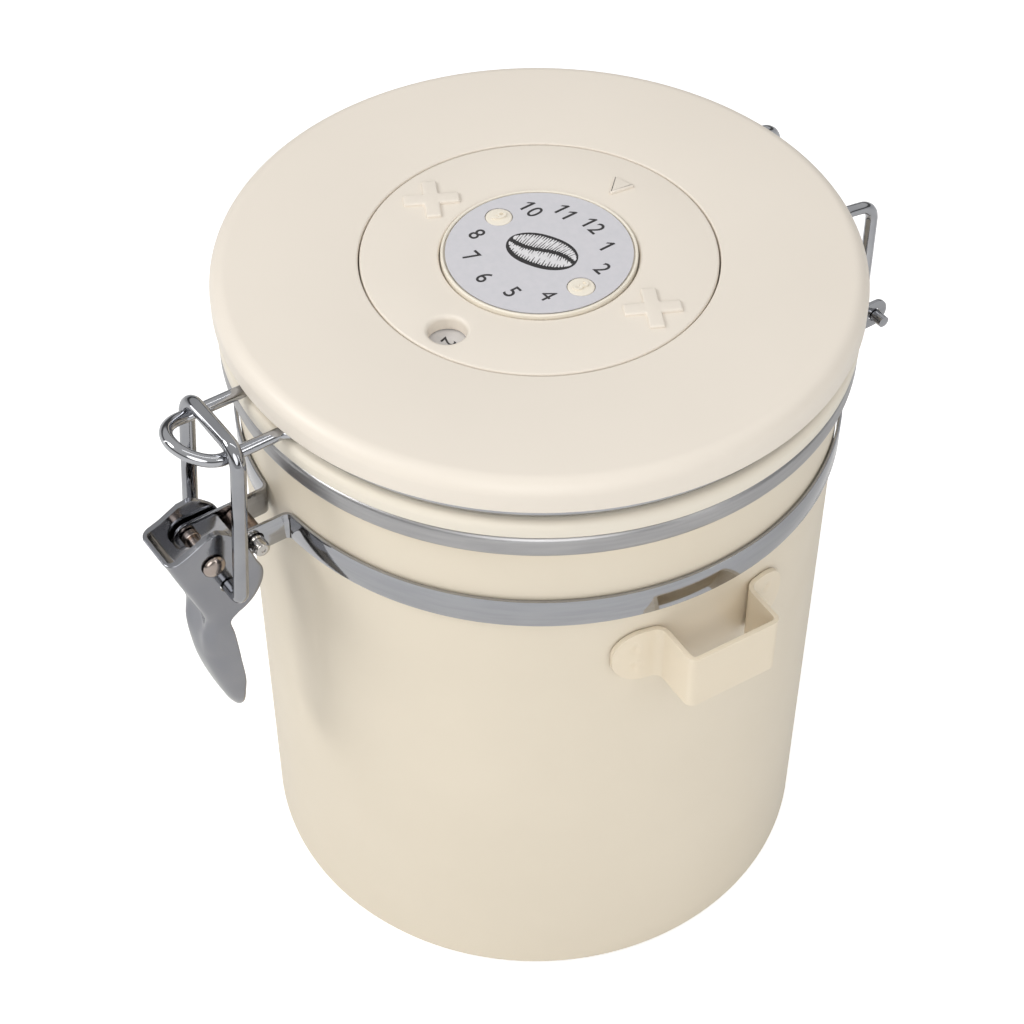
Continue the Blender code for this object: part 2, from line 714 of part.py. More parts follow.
def lid_shell(material):
    wire_centre = (lid_wire_r, lid_wire_z)
    lip = math.degrees(math.asin(CLEAR / 2 / groove_r))
    bore = SCREW_R + CLEAR
    well_outer = DIAL_WELL_R + LID_WELL_T
    cavity = lid_top - LID_SHELL_T
    profile = [(bore, well_under), (well_outer, well_under), (well_outer, cavity)]
    profile += [(lid_rib_r, cavity), (lid_rib_r, shell_bottom)]
    profile += arc(wire_centre, groove_r, 180 - lip, 90, 3)
    under = (flange_r - LID_UNDER_EDGE_R, flange_bottom + LID_UNDER_EDGE_R)
    profile += arc(under, LID_UNDER_EDGE_R, -90, 0, 2)
    top = (flange_r - LID_TOP_EDGE_R, lid_top - LID_TOP_EDGE_R)
    profile += arc(top, LID_TOP_EDGE_R, 0, 90, 4)
    edge = (DIAL_WELL_R + DIAL_WELL_EDGE_R, lid_top - DIAL_WELL_EDGE_R)
    profile += arc(edge, DIAL_WELL_EDGE_R, 90, 180, 1)
    profile += [(DIAL_WELL_R, well_floor), (bore, well_floor)]
    return lathe("lid_shell", profile, material)


def lid_base(material):
    wire_centre = (lid_wire_r, lid_wire_z)
    lip = math.degrees(math.asin(CLEAR / 2 / groove_r))
    stem_hole = FLAP_STEM_R + CLEAR
    boss_outer = VALVE_BOSS_R + VALVE_BOSS_T
    boss_bottom = plate_bottom - VALVE_BOSS_H
    plug_bottom = lid_bottom - PLUG_DEPTH
    skirt_r = lid_ring_r - GASKET_SKIRT_T
    seat = lid_bottom + GASKET_T + CLEAR
    profile = [(stem_hole, plate_bottom), (VALVE_BOSS_R, plate_bottom), (VALVE_BOSS_R, boss_bottom)]
    profile += [(boss_outer, boss_bottom), (boss_outer, plate_bottom)]
    profile += [(plug_r - PLUG_T, plate_bottom), (plug_r - PLUG_T, plug_bottom), (plug_r, plug_bottom)]
    profile += [(plug_r, lid_bottom), (gasket_lip_r, lid_bottom), (gasket_lip_r, seat)]
    profile += [(skirt_r, seat), (skirt_r, lid_bottom)]
    foot = (lid_ring_r - LID_RING_FOOT_R, lid_bottom + LID_RING_FOOT_R)
    profile += arc(foot, LID_RING_FOOT_R, -90, 0, 1)
    ring_top = lid_bottom + LID_RING_H
    edge = (lid_ring_r - LID_RING_EDGE_R, ring_top - LID_RING_EDGE_R)
    profile += arc(edge, LID_RING_EDGE_R, 0, 90, 3)
    profile += arc(wire_centre, groove_r, 270, 180 + lip, 3)
    profile += [(stem_hole, plate_top)]
    base = lathe("lid_base", profile, material)
    half = LID_PLATE_T / 2 + OVERRUN
    for i in range(VALVE_VENTS):
        turn = 2 * math.pi * i / VALVE_VENTS
        place = Vector((math.cos(turn), math.sin(turn), 0)) * VALVE_VENT_AT
        place.z = plate_bottom + LID_PLATE_T / 2
        drill(base, f"valve_vent_{i}", VALVE_VENT_R, place, "Z", half, 12)
    return base


def lid_gasket(material):
    inner = gasket_lip_r + CLEAR
    outer = lid_ring_r - GASKET_SKIRT_T - CLEAR
    top = lid_bottom + GASKET_T
    edge = GASKET_EDGE_R
    profile = [(inner, lid_bottom + edge), (inner + edge, lid_bottom), (outer - edge, lid_bottom)]
    profile += [(outer, lid_bottom + edge), (outer, top), (inner, top)]
    return lathe("lid_gasket", profile, material)


def day_ring(material):
    outer = DIAL_WELL_R - CLEAR
    low = well_floor + CLEAR
    high = low + DAY_RING_T
    profile = [(DAY_RING_INNER_R, low), (outer, low), (outer, high), (DAY_RING_INNER_R, high)]
    return lathe("day_ring", profile, material)


def day_disc(material):
    """Outer dial: bore on the hub, window over the day ring, raised arrow and two raised plus marks."""
    bore = MONTH_HUB_R + CLEAR
    inner, outer = face_inner_r, face_outer_r
    thick = lid_top - day_disc_bottom
    edge = DAY_DISC_EDGE_R
    profile = [(bore, 0), (outer, 0), *arc((outer - edge, thick - edge), edge, 0, 90, 2)]
    profile += [*arc((inner + edge, thick - edge), edge, 90, 180, 2), (inner, DAY_LEDGE_T)]
    profile += [(bore, DAY_LEDGE_T)]
    disc = lathe("day_disc", profile, material)
    disc.location = (0, 0, day_disc_bottom)
    disc.rotation_euler.z = math.radians(DAY_DISC_TURN)

    half, bar = plus_size / 2, PLUS_BAR / 2
    quarter = [(half, -bar), (half, bar), (bar, bar)]
    plus = []
    for i in range(4):
        turn = math.pi / 2 * i + math.radians(PLUS_TURN)
        c, s = math.cos(turn), math.sin(turn)
        plus += [(x * c - y * s, x * s + y * c) for x, y in quarter]
    low, high = thick - MARK_SINK, thick + MARK_H
    marks = []
    for i, side in enumerate((-1, 1)):
        outline = [(x + side * plus_at, y) for x, y in plus]
        marks.append(prism(f"plus_mark_{i}", outline, low, high, "Z", top_edge_r=MARK_EDGE_R))
    back = arrow_at + arrow_length * ARROW_BACK_SHARE
    arrow = [(-arrow_width / 2, back), (0, back - arrow_length), (arrow_width / 2, back)]
    marks.append(prism("arrow_mark", arrow, low, high, "Z", top_edge_r=MARK_EDGE_R))

    over = window_r + WINDOW_EDGE_R
    cone = [(0, -OVERRUN), (window_r, -OVERRUN)]
    cone += arc((over, thick - WINDOW_EDGE_R), WINDOW_EDGE_R, 180, 90, 3)
    cone += [(over, thick + OVERRUN), (0, thick + OVERRUN)]
    window = lathe("window_cutter", cone, steps=DIAL_STEPS // 2)
    turn = Vector((0, -window_at, 0))
    turn.rotate(disc.rotation_euler)
    window.location = disc.location + turn
    for mark in marks:
        mark.location = disc.location
        mark.rotation_euler = disc.rotation_euler
        combine(disc, mark, "UNION")
    combine(disc, window, "DIFFERENCE")
    return disc


def month_dial(material):
    """Inner dial: hub with a blind bore, plate, thin rim round the label, nubs at 3 and 9."""
    bore = SCREW_R + CLEAR
    hub = well_floor + CLEAR - month_dial_bottom
    top = MONTH_PLATE_T + MONTH_RIM_H
    edge = MONTH_RIM_EDGE_R
    inner = MONTH_DIAL_R - MONTH_RIM_T
    bore_top = MONTH_PLATE_T * MONTH_BORE_SHARE
    profile = [(bore, hub), (MONTH_HUB_R, hub), (MONTH_HUB_R, 0), (MONTH_DIAL_R, 0)]
    profile += arc((MONTH_DIAL_R - edge, top - edge), edge, 0, 90, 2)
    profile += arc((inner + edge, top - edge), edge, 90, 180, 2)
    profile += [(inner, MONTH_PLATE_T), (0, MONTH_PLATE_T), (0, bore_top), (bore, bore_top)]
    dial = lathe("month_dial", profile, material, DIAL_STEPS)
    dial.location = (0, 0, month_dial_bottom)
    low, high = MONTH_PLATE_T - MARK_SINK, MONTH_PLATE_T + NUB_H
    for i, side in enumerate((1, -1)):
        nub = [(0, low), (NUB_R, low), *arc((NUB_R - NUB_EDGE_R, high - NUB_EDGE_R), NUB_EDGE_R, 0, 90, 2)]
        post = lathe(f"nub_{i}", nub + [(0, high)], steps=SMALL_STEPS)
        post.location = dial.location + Vector((side * nub_at, 0, 0))
        combine(dial, post, "UNION")
    return dial


def dial_label(material):
    outer = MONTH_DIAL_R - MONTH_RIM_T - CLEAR
    profile = [(0, 0), (outer, 0), (outer, LABEL_T), (0, LABEL_T)]
    label = lathe("dial_label", profile, material, DIAL_STEPS)
    label.location = (0, 0, label_seat + CLEAR)
    for i, side in enumerate((1, -1)):
        place = label.location + Vector((side * nub_at, 0, LABEL_T / 2))
        drill(label, f"label_hole_{i}", NUB_R + CLEAR, place, "Z", OVERRUN)
    return label


def dial_screw(material):
    head_top = well_under - CLEAR - WASHER_T - CLEAR
    profile = [(0, head_top - SCREW_HEAD_H), (SCREW_HEAD_R, head_top - SCREW_HEAD_H)]
    profile += [(SCREW_HEAD_R, head_top), (SCREW_R, head_top)]
    profile += [(SCREW_R, head_top + SCREW_LENGTH), (0, head_top + SCREW_LENGTH)]
    return lathe("dial_screw", profile, material, SMALL_STEPS)


def dial_washer(material):
    bore = SCREW_R + CLEAR
    high = well_under - CLEAR
    low = high - WASHER_T
    profile = [(bore, low), (WASHER_R, low), (WASHER_R, high), (bore, high)]
    return lathe("dial_washer", profile, material, SMALL_STEPS)


def valve_flap(material):
    top = plate_bottom - CLEAR
    low = top - FLAP_T
    stem_top = top + FLAP_STEM_L
    profile = [(0, low), (FLAP_R, low), (FLAP_R, top)]
    profile += [(FLAP_STEM_R, top), (FLAP_STEM_R, stem_top), (0, stem_top)]
    return lathe("valve_flap", profile, material, SMALL_STEPS)


def valve_filter(material):
    outer = VALVE_BOSS_R - CLEAR
    high = filter_top
    low = high - FILTER_T
    return lathe("valve_filter", [(0, low), (outer, low), (outer, high), (0, high)], material, SMALL_STEPS)


def valve_cap(material):
    outer = VALVE_BOSS_R - CLEAR
    high = filter_top - FILTER_T - CLEAR
    low = high - CAP_T
    cap = lathe("valve_cap", [(0, low), (outer, low), (outer, high), (0, high)], material, SMALL_STEPS)
    for i in range(CAP_HOLES):
        turn = 2 * math.pi * i / CAP_HOLES
        place = Vector((math.cos(turn), math.sin(turn), 0)) * CAP_HOLE_AT
        place.z = (low + high) / 2
        drill(cap, f"cap_hole_{i}", CAP_HOLE_R, place, "Z", CAP_T, 12)
    return cap


def spoon_bracket(material):
    ring = BODY_R + CLEAR + SPOON_T / 2
    wall = SPOON_WIDTH / 2 - SPOON_T / 2
    front = BODY_R + SPOON_OUT - SPOON_T / 2
    corner, angle = ring_corner(ring, wall, SPOON_FOOT_BEND_R, True)
    tab_end = 90 - SPOON_TAB_ANGLE - math.degrees(SPOON_T / ring)
    half = arc((0, 0), ring, tab_end, angle, 3) + corner[-2::-1]
    bends = [0, SPOON_BEND_R, SPOON_BEND_R, 0]
    loop = rounded_path([half[-1], (wall, front), (-wall, front), (-half[-1][0], half[-1][1])], bends)
    path = half + [tuple(p) for p in loop[1:-1]] + [(-x, y) for x, y in half[::-1]]
    low, high = SPOON_Z - SPOON_HEIGHT / 2, SPOON_Z + SPOON_HEIGHT / 2
    over = SPOON_HEIGHT / 2 + OVERRUN
    outline = strip_outline(path, SPOON_T)
    bracket = prism("spoon_bracket", outline, SPOON_Z - over, SPOON_Z + over, "Z", material)
    wide = ring * math.sin(math.radians(SPOON_TAB_ANGLE))
    box = [(-wide, low), (wide, low), (wide, high), (-wide, high)]
    face = [tuple(p) for p in rounded_path([(x, z, 0) for x, z in box], [SPOON_TAB_R] * 4, closed=True)]
    front_view = prism("bracket_front", [(x, z) for x, z, _ in face], 0, 2 * BODY_R, "Y")
    combine(bracket, front_view, "INTERSECT")
    for piece in (bracket, front_view):
        piece.rotation_euler.z = math.radians(SPOON_TURN - 90)
    return bracket


def build():
    for obj in list(bpy.data.objects):
        bpy.data.objects.remove(obj)

    cream_steel = look("cream_coat", (224, 213, 193), 0.35, 0.0)
    cream_bracket = look("cream_bracket_coat", (226, 216, 197), 0.35, 0.0)
    cream_shell = look("cream_moulding", (231, 222, 209), 0.38, 0.0)
    cream_base = look("cream_under_moulding", (229, 222, 206), 0.38, 0.0)
    cream_disc = look("cream_day_disc", (231, 222, 209), 0.38, 0.0)
    cream_dial = look("cream_month_dial", (238, 229, 212), 0.38, 0.0)
    silver_label = look("silver_label", (208, 206, 209), 0.45, 0.3)
    silver_ring = look("silver_day_ring", (196, 191, 190), 0.45, 0.3)
    band_steel = look("band_steel", (200, 200, 202), 0.12, 1.0)
    bracket_steel = look("bracket_steel", (200, 200, 202), 0.15, 1.0)
    lever_steel = look("lever_steel", (196, 196, 200), 0.1, 1.0)
    bail_steel = look("bail_steel", (205, 205, 208), 0.08, 1.0)
    wire_steel = look("wire_steel", (205, 205, 208), 0.08, 1.0)
    pin_nickel = look("pin_nickel", (190, 186, 180), 0.15, 1.0)
    sleeve_nickel = look("sleeve_nickel", (150, 130, 115), 0.25, 1.0)
    rivet_nickel = look("rivet_nickel", (165, 150, 138), 0.2, 1.0)
    screw_zinc = look("screw_zinc", (180, 180, 182), 0.3, 1.0)
    washer_zinc = look("washer_zinc", (185, 185, 187), 0.3, 1.0)
    gasket_rubber = look("gasket_silicone", (225, 222, 215), 0.6, 0.0)
    flap_rubber = look("flap_silicone", (230, 228, 222), 0.6, 0.0)
    filter_felt = look("filter_felt", (235, 232, 225), 0.95, 0.0)
    cap_plastic = look("cap_moulding", (228, 220, 206), 0.4, 0.0)

    canister_body(cream_steel)
    clamp_band(band_steel)
    clamp_pin(pin_nickel)
    clamp_sleeve(sleeve_nickel)
    lever_rivet(rivet_nickel)
    hinge_bracket(bracket_steel)
    spoon_bracket(cream_bracket)

    lever_pivot = pivot("lever_pivot", (0, -pivot_r, pivot_z))
    attach(lever_pivot, latch_lever(lever_steel))
    bail_pivot = pivot("bail_pivot", (0, -bail_pivot_r, bail_pivot_z))
    attach(bail_pivot, bail_wire(bail_steel))

    lid_pivot = pivot("lid_pivot", (0, hinge_r, hinge_z))
    attach(
        lid_pivot,
        lid_wire(wire_steel),
        lid_shell(cream_shell),
        lid_base(cream_base),
        lid_gasket(gasket_rubber),
        day_ring(silver_ring),
        day_disc(cream_disc),
        month_dial(cream_dial),
        dial_label(silver_label),
        dial_screw(screw_zinc),
        dial_washer(washer_zinc),
        valve_flap(flap_rubber),
        valve_filter(filter_felt),
        valve_cap(cap_plastic),
    )


build()
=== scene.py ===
"""Looks of the coffee canister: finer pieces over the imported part, finishes, floor, light, camera.

Lengths are in millimetres and become metres where a piece is drawn.
"""

import math

import bmesh
import bpy
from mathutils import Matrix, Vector


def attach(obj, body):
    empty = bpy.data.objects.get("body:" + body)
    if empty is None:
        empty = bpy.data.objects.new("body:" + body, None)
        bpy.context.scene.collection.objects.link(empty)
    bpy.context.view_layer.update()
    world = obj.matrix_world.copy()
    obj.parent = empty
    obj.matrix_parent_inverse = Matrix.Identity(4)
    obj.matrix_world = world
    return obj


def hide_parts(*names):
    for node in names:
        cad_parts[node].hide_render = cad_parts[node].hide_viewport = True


MM = 0.001
STEPS = 160
CAN_STEPS = 192

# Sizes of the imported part, in mm
CAN_R = 59.4
CAN_TOP = 136.2
RIM_ROLL_R = 1.5
BAND_LOW = 111.8
BAND_HIGH = 118.2
BAND_RING_R = 60.05
BAND_THICK = 0.7
EAR_X = 4.0
PIVOT = (-77.3, 115.4)
PIN = (-67.5, 115.0)
BAIL_FOOT = (-74.7, 108.8)
BAIL_BAR = (-71.6, 144.35)
BAIL_R = 1.5
LEVER_T = 1.0
LEVER_HALF = 5.9
LEVER_BEND = 2.3
LEVER_EDGE = 0.32
LEVER_CREST = 2.05
TONGUE_LONG = 30.7
HINGE = (71.2, 114.2)
HINGE_STRIP_LOW = 111.2
HINGE_STRIP_HIGH = 117.6
LID_LOW = 136.5
LID_TOP = 150.0
WIRE_R = 1.25
WIRE_RING_R = 59.4
WIRE_Z = 141.4
GROOVE_R = 1.55
FLANGE_R = 62.5
FLANGE_LOW = 143.1
WELL_R = 34.35
WELL_FLOOR = 146.0
DISC_LOW = 147.1
DISC_TURN = 17.8
PLUS_TURN = 45.0
DAY_R = 27.72
DIAL_LOW = 148.2
DIAL_R = 18.75
LABEL_R = 17.85
LABEL_TOP = 150.5
MONTH_R = 12.9
PRINT_TURN = 2.2


# ---- drawing by hand

def close_mesh():
    bpy.ops.object.mode_set(mode="OBJECT")


def select_whole():
    bpy.ops.mesh.select_all(action="SELECT")


def let_go():
    """Closes any open mesh and selects nothing."""
    if bpy.context.mode != "OBJECT":
        close_mesh()
    bpy.ops.object.select_all(action="DESELECT")


def take(piece):
    let_go()
    piece.select_set(True)
    bpy.context.view_layer.objects.active = piece


def open_mesh(piece):
    take(piece)
    bpy.ops.object.mode_set(mode="EDIT")


def pick(kind, test):
    """In the open mesh, selects the points, edges or faces that pass the test."""
    bpy.ops.mesh.select_mode(type=kind)
    bpy.ops.mesh.select_all(action="DESELECT")
    mesh = bpy.context.edit_object.data
    work = bmesh.from_edit_mesh(mesh)
    for element in {"VERT": work.verts, "EDGE": work.edges, "FACE": work.faces}[kind]:
        if test(element):
            element.select = True
    bmesh.update_edit_mesh(mesh)


def draw_line(name, points, closed=False):
    """A line drawn out point by point, from a small plane merged to its middle."""
    let_go()
    bpy.ops.mesh.primitive_plane_add(size=MM)
    piece = bpy.context.active_object
    piece.name = piece.data.name = name
    bpy.ops.object.mode_set(mode="EDIT")
    bpy.ops.mesh.select_mode(type="VERT")
    select_whole()
    bpy.ops.mesh.merge(type="CENTER")
    points = [Vector(p) * MM for p in points]
    bpy.ops.transform.translate(value=points[0])
    for here, there in zip(points, points[1:]):
        bpy.ops.mesh.extrude_region_move(TRANSFORM_OT_translate={"value": there - here})
    if closed:
        pick("VERT", lambda v: len(v.link_edges) == 1)
        bpy.ops.mesh.edge_face_add()
    return piece


def tidy_faces():
    """Merges doubled points and turns all faces outward."""
    bpy.ops.mesh.select_mode(type="VERT")
    select_whole()
    bpy.ops.mesh.remove_doubles(threshold=0.001 * MM)
    bpy.ops.mesh.normals_make_consistent(inside=False)


def turned(name, outline, steps=STEPS, closed=True, axis="Z", centre=(0, 0, 0)):
    """An outline of (radius, height) points spun round an axis through the centre."""
    cx, cy, cz = centre
    if axis == "Z":
        points = [(cx + r, cy, cz + h) for r, h in outline]
        way = (0, 0, 1)
    else:
        points = [(cx + h, cy, cz + r) for r, h in outline]
        way = (1, 0, 0)
    piece = draw_line(name, points, closed)
    select_whole()
    bpy.ops.mesh.spin(steps=steps, angle=2 * math.pi, center=Vector(centre) * MM, axis=way)
    tidy_faces()
    close_mesh()
    return piece


def raised(name, outline, low, high, edge_r=0.0, axis="Z", rounding=3):
    """A closed outline filled and drawn up from low to high, with its top edge rounded."""
    number = "XYZ".index(axis)
    way = Vector((0, 0, 0))
    way[number] = (high - low) * MM
    points = [(u, v, low) if axis == "Z" else (u, low, v) for u, v in outline]
    piece = draw_line(name, points, closed=True)
    select_whole()
    bpy.ops.mesh.edge_face_add()
    bpy.ops.mesh.extrude_region_move(TRANSFORM_OT_translate={"value": way})
    if edge_r:
        pick("EDGE", lambda e: all(abs(v.co[number] / MM - high) < 0.001 for v in e.verts))
        bpy.ops.mesh.bevel(offset=edge_r * MM, segments=rounding, affect="EDGES")
    tidy_faces()
    close_mesh()
    return piece


def bent_strip(name, path, low, high, thick, corners, edge_r):
    """A sheet strip bent along a line, with its end corners rounded and all edges softened."""
    piece = draw_line(name, [(x, y, low) for x, y in path])
    select_whole()
    bpy.ops.mesh.extrude_region_move(TRANSFORM_OT_translate={"value": (0, 0, (high - low) * MM)})
    for reach, radius in corners:
        pick("VERT", lambda v: len(v.link_edges) == 2 and reach(v.co / MM))
        bpy.ops.mesh.bevel(offset=radius * MM, segments=10, affect="VERTICES")
    select_whole()
    bpy.ops.mesh.normals_make_consistent(inside=False)
    close_mesh()
    thicken(piece, thick)
    soften(piece, edge_r, 2, 50)
    return piece


def thicken(piece, thick):
    """Gives a sheet its thickness, half of it on each side."""
    wall = piece.modifiers.new("wall", "SOLIDIFY")
    wall.thickness = thick * MM
    wall.offset = 0
    wall.use_even_offset = True
    apply(piece)


def round_wire(name, path, radius, closed=False):
    """A wire bent along a line, with a small inner ring on each of its flat ends."""
    piece = draw_line(name, path, closed)
    take(piece)
    bpy.ops.object.convert(target="CURVE")
    curve = bpy.context.active_object
    curve.data.bevel_depth = radius * MM
    curve.data.bevel_resolution = 5
    curve.data.use_fill_caps = True
    bpy.ops.object.convert(target="MESH")
    piece = bpy.context.active_object
    piece.name = piece.data.name = name
    open_mesh(piece)
    tidy_faces()
    if not closed:
        pick("FACE", lambda f: len(f.verts) > 4)
        bpy.ops.mesh.inset(thickness=0.3 * radius * MM)
        select_whole()
    close_mesh()
    return piece


def apply(piece):
    """Makes a piece's modifiers part of its mesh."""
    take(piece)
    for modifier in list(piece.modifiers):
        bpy.ops.object.modifier_apply(modifier=modifier.name)


def soften(piece, width, segments, angle):
    """Rounds the edges that are sharper than an angle."""
    edge = piece.modifiers.new("edge", "BEVEL")
    edge.width = width * MM
    edge.segments = segments
    edge.limit_method = "ANGLE"
    edge.angle_limit = math.radians(angle)
    apply(piece)


def combine(piece, tool, operation):
    """Joins a tool to a piece, or cuts the piece with it, and takes the tool away."""
    cut = piece.modifiers.new("cut", "BOOLEAN")
    cut.operation = operation
    cut.solver = "EXACT"
    cut.object = tool
    apply(piece)
    bpy.data.objects.remove(tool)


def drill(piece, radius, centre, half, axis="X", steps=32):
    """A round hole through the piece."""
    outline = [(0, -half), (radius, -half), (radius, half), (0, half)]
    combine(piece, turned("drill", outline, steps, False, axis, centre), "DIFFERENCE")


def built(name, work):
    """A piece from a mesh that was built point by point."""
    mesh = bpy.data.meshes.new(name)
    work.to_mesh(mesh)
    work.free()
    piece = bpy.data.objects.new(name, mesh)
    bpy.context.scene.collection.objects.link(piece)
    return piece


def place_on_lid(piece, turn, x=0.0, y=0.0, z=0.0):
    """Moves and turns a piece about the lid's axis and makes its place part of its mesh."""
    take(piece)
    piece.location = (x * MM, y * MM, z * MM)
    piece.rotation_euler = (0, 0, math.radians(turn))
    bpy.ops.object.transform_apply(location=True, rotation=True, scale=True)


def finish(piece, body, material, stands_for=(), smooth=35):
    """Shades a piece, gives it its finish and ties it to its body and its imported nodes."""
    take(piece)
    bpy.ops.object.shade_smooth_by_angle(angle=math.radians(smooth))
    if material and not piece.data.materials:
        piece.data.materials.append(material)
    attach(piece, body)
    if stands_for:
        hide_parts(*stands_for)
    return piece


def paint(piece, materials, choose):
    """Gives each face the material whose number choose returns for the face's middle, in mm."""
    for material in materials:
        piece.data.materials.append(material)
    for face in piece.data.polygons:
        face.material_index = choose(face.center / MM, face.normal)


def arc(centre, radius, start, end, steps):
    """Points on a circle from one angle to another, in degrees."""
    turns = [math.radians(start + (end - start) * i / steps) for i in range(steps + 1)]
    return [(centre[0] + radius * math.cos(a), centre[1] + radius * math.sin(a)) for a in turns]


def rounded_path(points, radii, closed=False, steps=8):
    """A path with a round bend at each corner."""
    path = []
    points = [Vector(p) for p in points]
    for i, corner in enumerate(points):
        if radii[i] == 0 or (not closed and i in (0, len(points) - 1)):
            path.append(corner)
            continue
        before = points[i - 1] - corner
        after = points[(i + 1) % len(points)] - corner
        half = before.angle(after) / 2
        cut = min(radii[i] / math.tan(half), before.length / 2, after.length / 2)
        middle = corner + (before.normalized() + after.normalized()).normalized() * cut / math.cos(half)
        start = corner + before.normalized() * cut - middle
        end = corner + after.normalized() * cut - middle
        sweep = start.angle(end)
        for j in range(steps + 1):
            share = j / steps
            path.append(
                middle
                + start * (math.sin((1 - share) * sweep) / math.sin(sweep))
                + end * (math.sin(share * sweep) / math.sin(sweep))
            )
    return path


def smooth_curve(points, steps):
    """A smooth line through all the points."""
    points = [Vector(p) for p in points]
    padded = [2 * points[0] - points[1], *points, 2 * points[-1] - points[-2]]
    curve = []
    for i in range(1, len(padded) - 2):
        p0, p1, p2, p3 = padded[i - 1 : i + 3]
        for j in range(steps):
            t = j / steps
            curve.append(
                (2 * p1 + (p2 - p0) * t + (2 * p0 - 5 * p1 + 4 * p2 - p3) * t**2
                 + (3 * p1 - p0 - 3 * p2 + p3) * t**3) / 2
            )
    curve.append(points[-1])
    return curve


def ring_corner(ring_r, arm_x, bend_r, ring_outside):
    """Bend from an arm at x = arm_x, pointing to +Y, into a ring round the origin."""
    centre_x = arm_x + bend_r if ring_outside else arm_x - bend_r
    centre_y = math.sqrt((ring_r + bend_r) ** 2 - centre_x**2)
    angle = math.degrees(math.atan2(centre_y, centre_x))
    start, end = (180, 180 + angle) if ring_outside else (0, angle - 180)
    return arc((centre_x, centre_y), bend_r, start, end, 8), angle


# ---- finishes

def linear(level):
    """Linear light from a screen level of 0 to 255."""
    share = level / 255
    return share / 12.92 if share <= 0.04045 else ((share + 0.055) / 1.055) ** 2.4


def tone(*levels):
    """A colour from its three screen levels."""
    return (*(linear(level) for level in levels), 1.0)


def new_finish(name):
    """A new material with its node tree and its shader."""
    material = bpy.data.materials.new(name)
    material.use_nodes = True
    return material, material.node_tree, material.node_tree.nodes["Principled BSDF"]


def add(tree, kind, **values):
    """A new node with its input values."""
    node = tree.nodes.new("ShaderNode" + kind)
    for name, value in values.items():
        node.inputs[name.replace("_", " ")].default_value = value
    return node


def noise(tree, scale, detail, stretch=None):
    """Noise on the piece's own coordinates, in metres."""
    source = add(tree, "TexCoord").outputs["Object"]
    grain = add(tree, "TexNoise", Scale=scale, Detail=detail)
    if stretch:
        mapping = add(tree, "Mapping", Scale=stretch)
        tree.links.new(source, mapping.inputs["Vector"])
        source = mapping.outputs["Vector"]
    tree.links.new(source, grain.inputs["Vector"])
    return grain.outputs["Fac"]


def spread(tree, source, low, high, to_low, to_high):
    """Maps a value from one range to another."""
    ranged = add(tree, "MapRange", From_Min=low, From_Max=high, To_Min=to_low, To_Max=to_high)
    tree.links.new(source, ranged.inputs["Value"])
    return ranged.outputs["Result"]


def two_tones(tree, grain, low, high, light, dark, shader):
    """Colours a finish between two tones by its grain."""
    mix = add(tree, "Mix")
    mix.data_type = "RGBA"
    mix.inputs["A"].default_value = tone(*light)
    mix.inputs["B"].default_value = tone(*dark)
    tree.links.new(spread(tree, grain, low, high, 0, 1), mix.inputs["Factor"])
    tree.links.new(mix.outputs["Result"], shader.inputs["Base Color"])


def gloss(tree, grain, low, high, smooth, rough, shader):
    """Varies a finish's roughness by its grain."""
    tree.links.new(spread(tree, grain, low, high, smooth, rough), shader.inputs["Roughness"])


def bump(tree, source, depth, strength, shader):
    """Gives a finish the height of its grain, depth in mm."""
    node = add(tree, "Bump", Distance=depth * MM, Strength=strength)
    tree.links.new(source, node.inputs["Height"])
    tree.links.new(node.outputs["Normal"], shader.inputs["Normal"])


def cream(name, light, dark, rough, grain_scale, grain_depth):
    """Satin cream: broad faint tone, fine grain and slightly uneven gloss."""
    material, tree, shader = new_finish(name)
    two_tones(tree, noise(tree, 22, 4), 0.3, 0.7, light, dark, shader)
    gloss(tree, noise(tree, 60, 3), 0.3, 0.7, rough - 0.04, rough + 0.05, shader)
    bump(tree, noise(tree, grain_scale, 2), grain_depth, 0.35, shader)
    return material


def metal(name, light, dark, rough, stretch=(1, 1, 1), scale=120, depth=0.004):
    """Bright metal: faint drawn grain and light scuffs."""
    material, tree, shader = new_finish(name)
    shader.inputs["Metallic"].default_value = 1.0
    grain = noise(tree, scale, 3, stretch)
    two_tones(tree, grain, 0.35, 0.65, light, dark, shader)
    gloss(tree, noise(tree, 260, 4), 0.4, 0.75, rough, rough + 0.05, shader)
    bump(tree, grain, depth, 0.3, shader)
    return material


def soft_matt(name, light, dark, rough, scale, depth):
    """Print, silicone or felt: fine grain in tone, gloss and height."""
    material, tree, shader = new_finish(name)
    grain = noise(tree, scale, 4)
    two_tones(tree, grain, 0.3, 0.7, light, dark, shader)
    gloss(tree, grain, 0.3, 0.7, rough - 0.05, rough + 0.05, shader)
    bump(tree, grain, depth, 0.5, shader)
    return material


def ink(name, light, dark):
    return soft_matt(name, light, dark, 0.55, 900, 0.004)


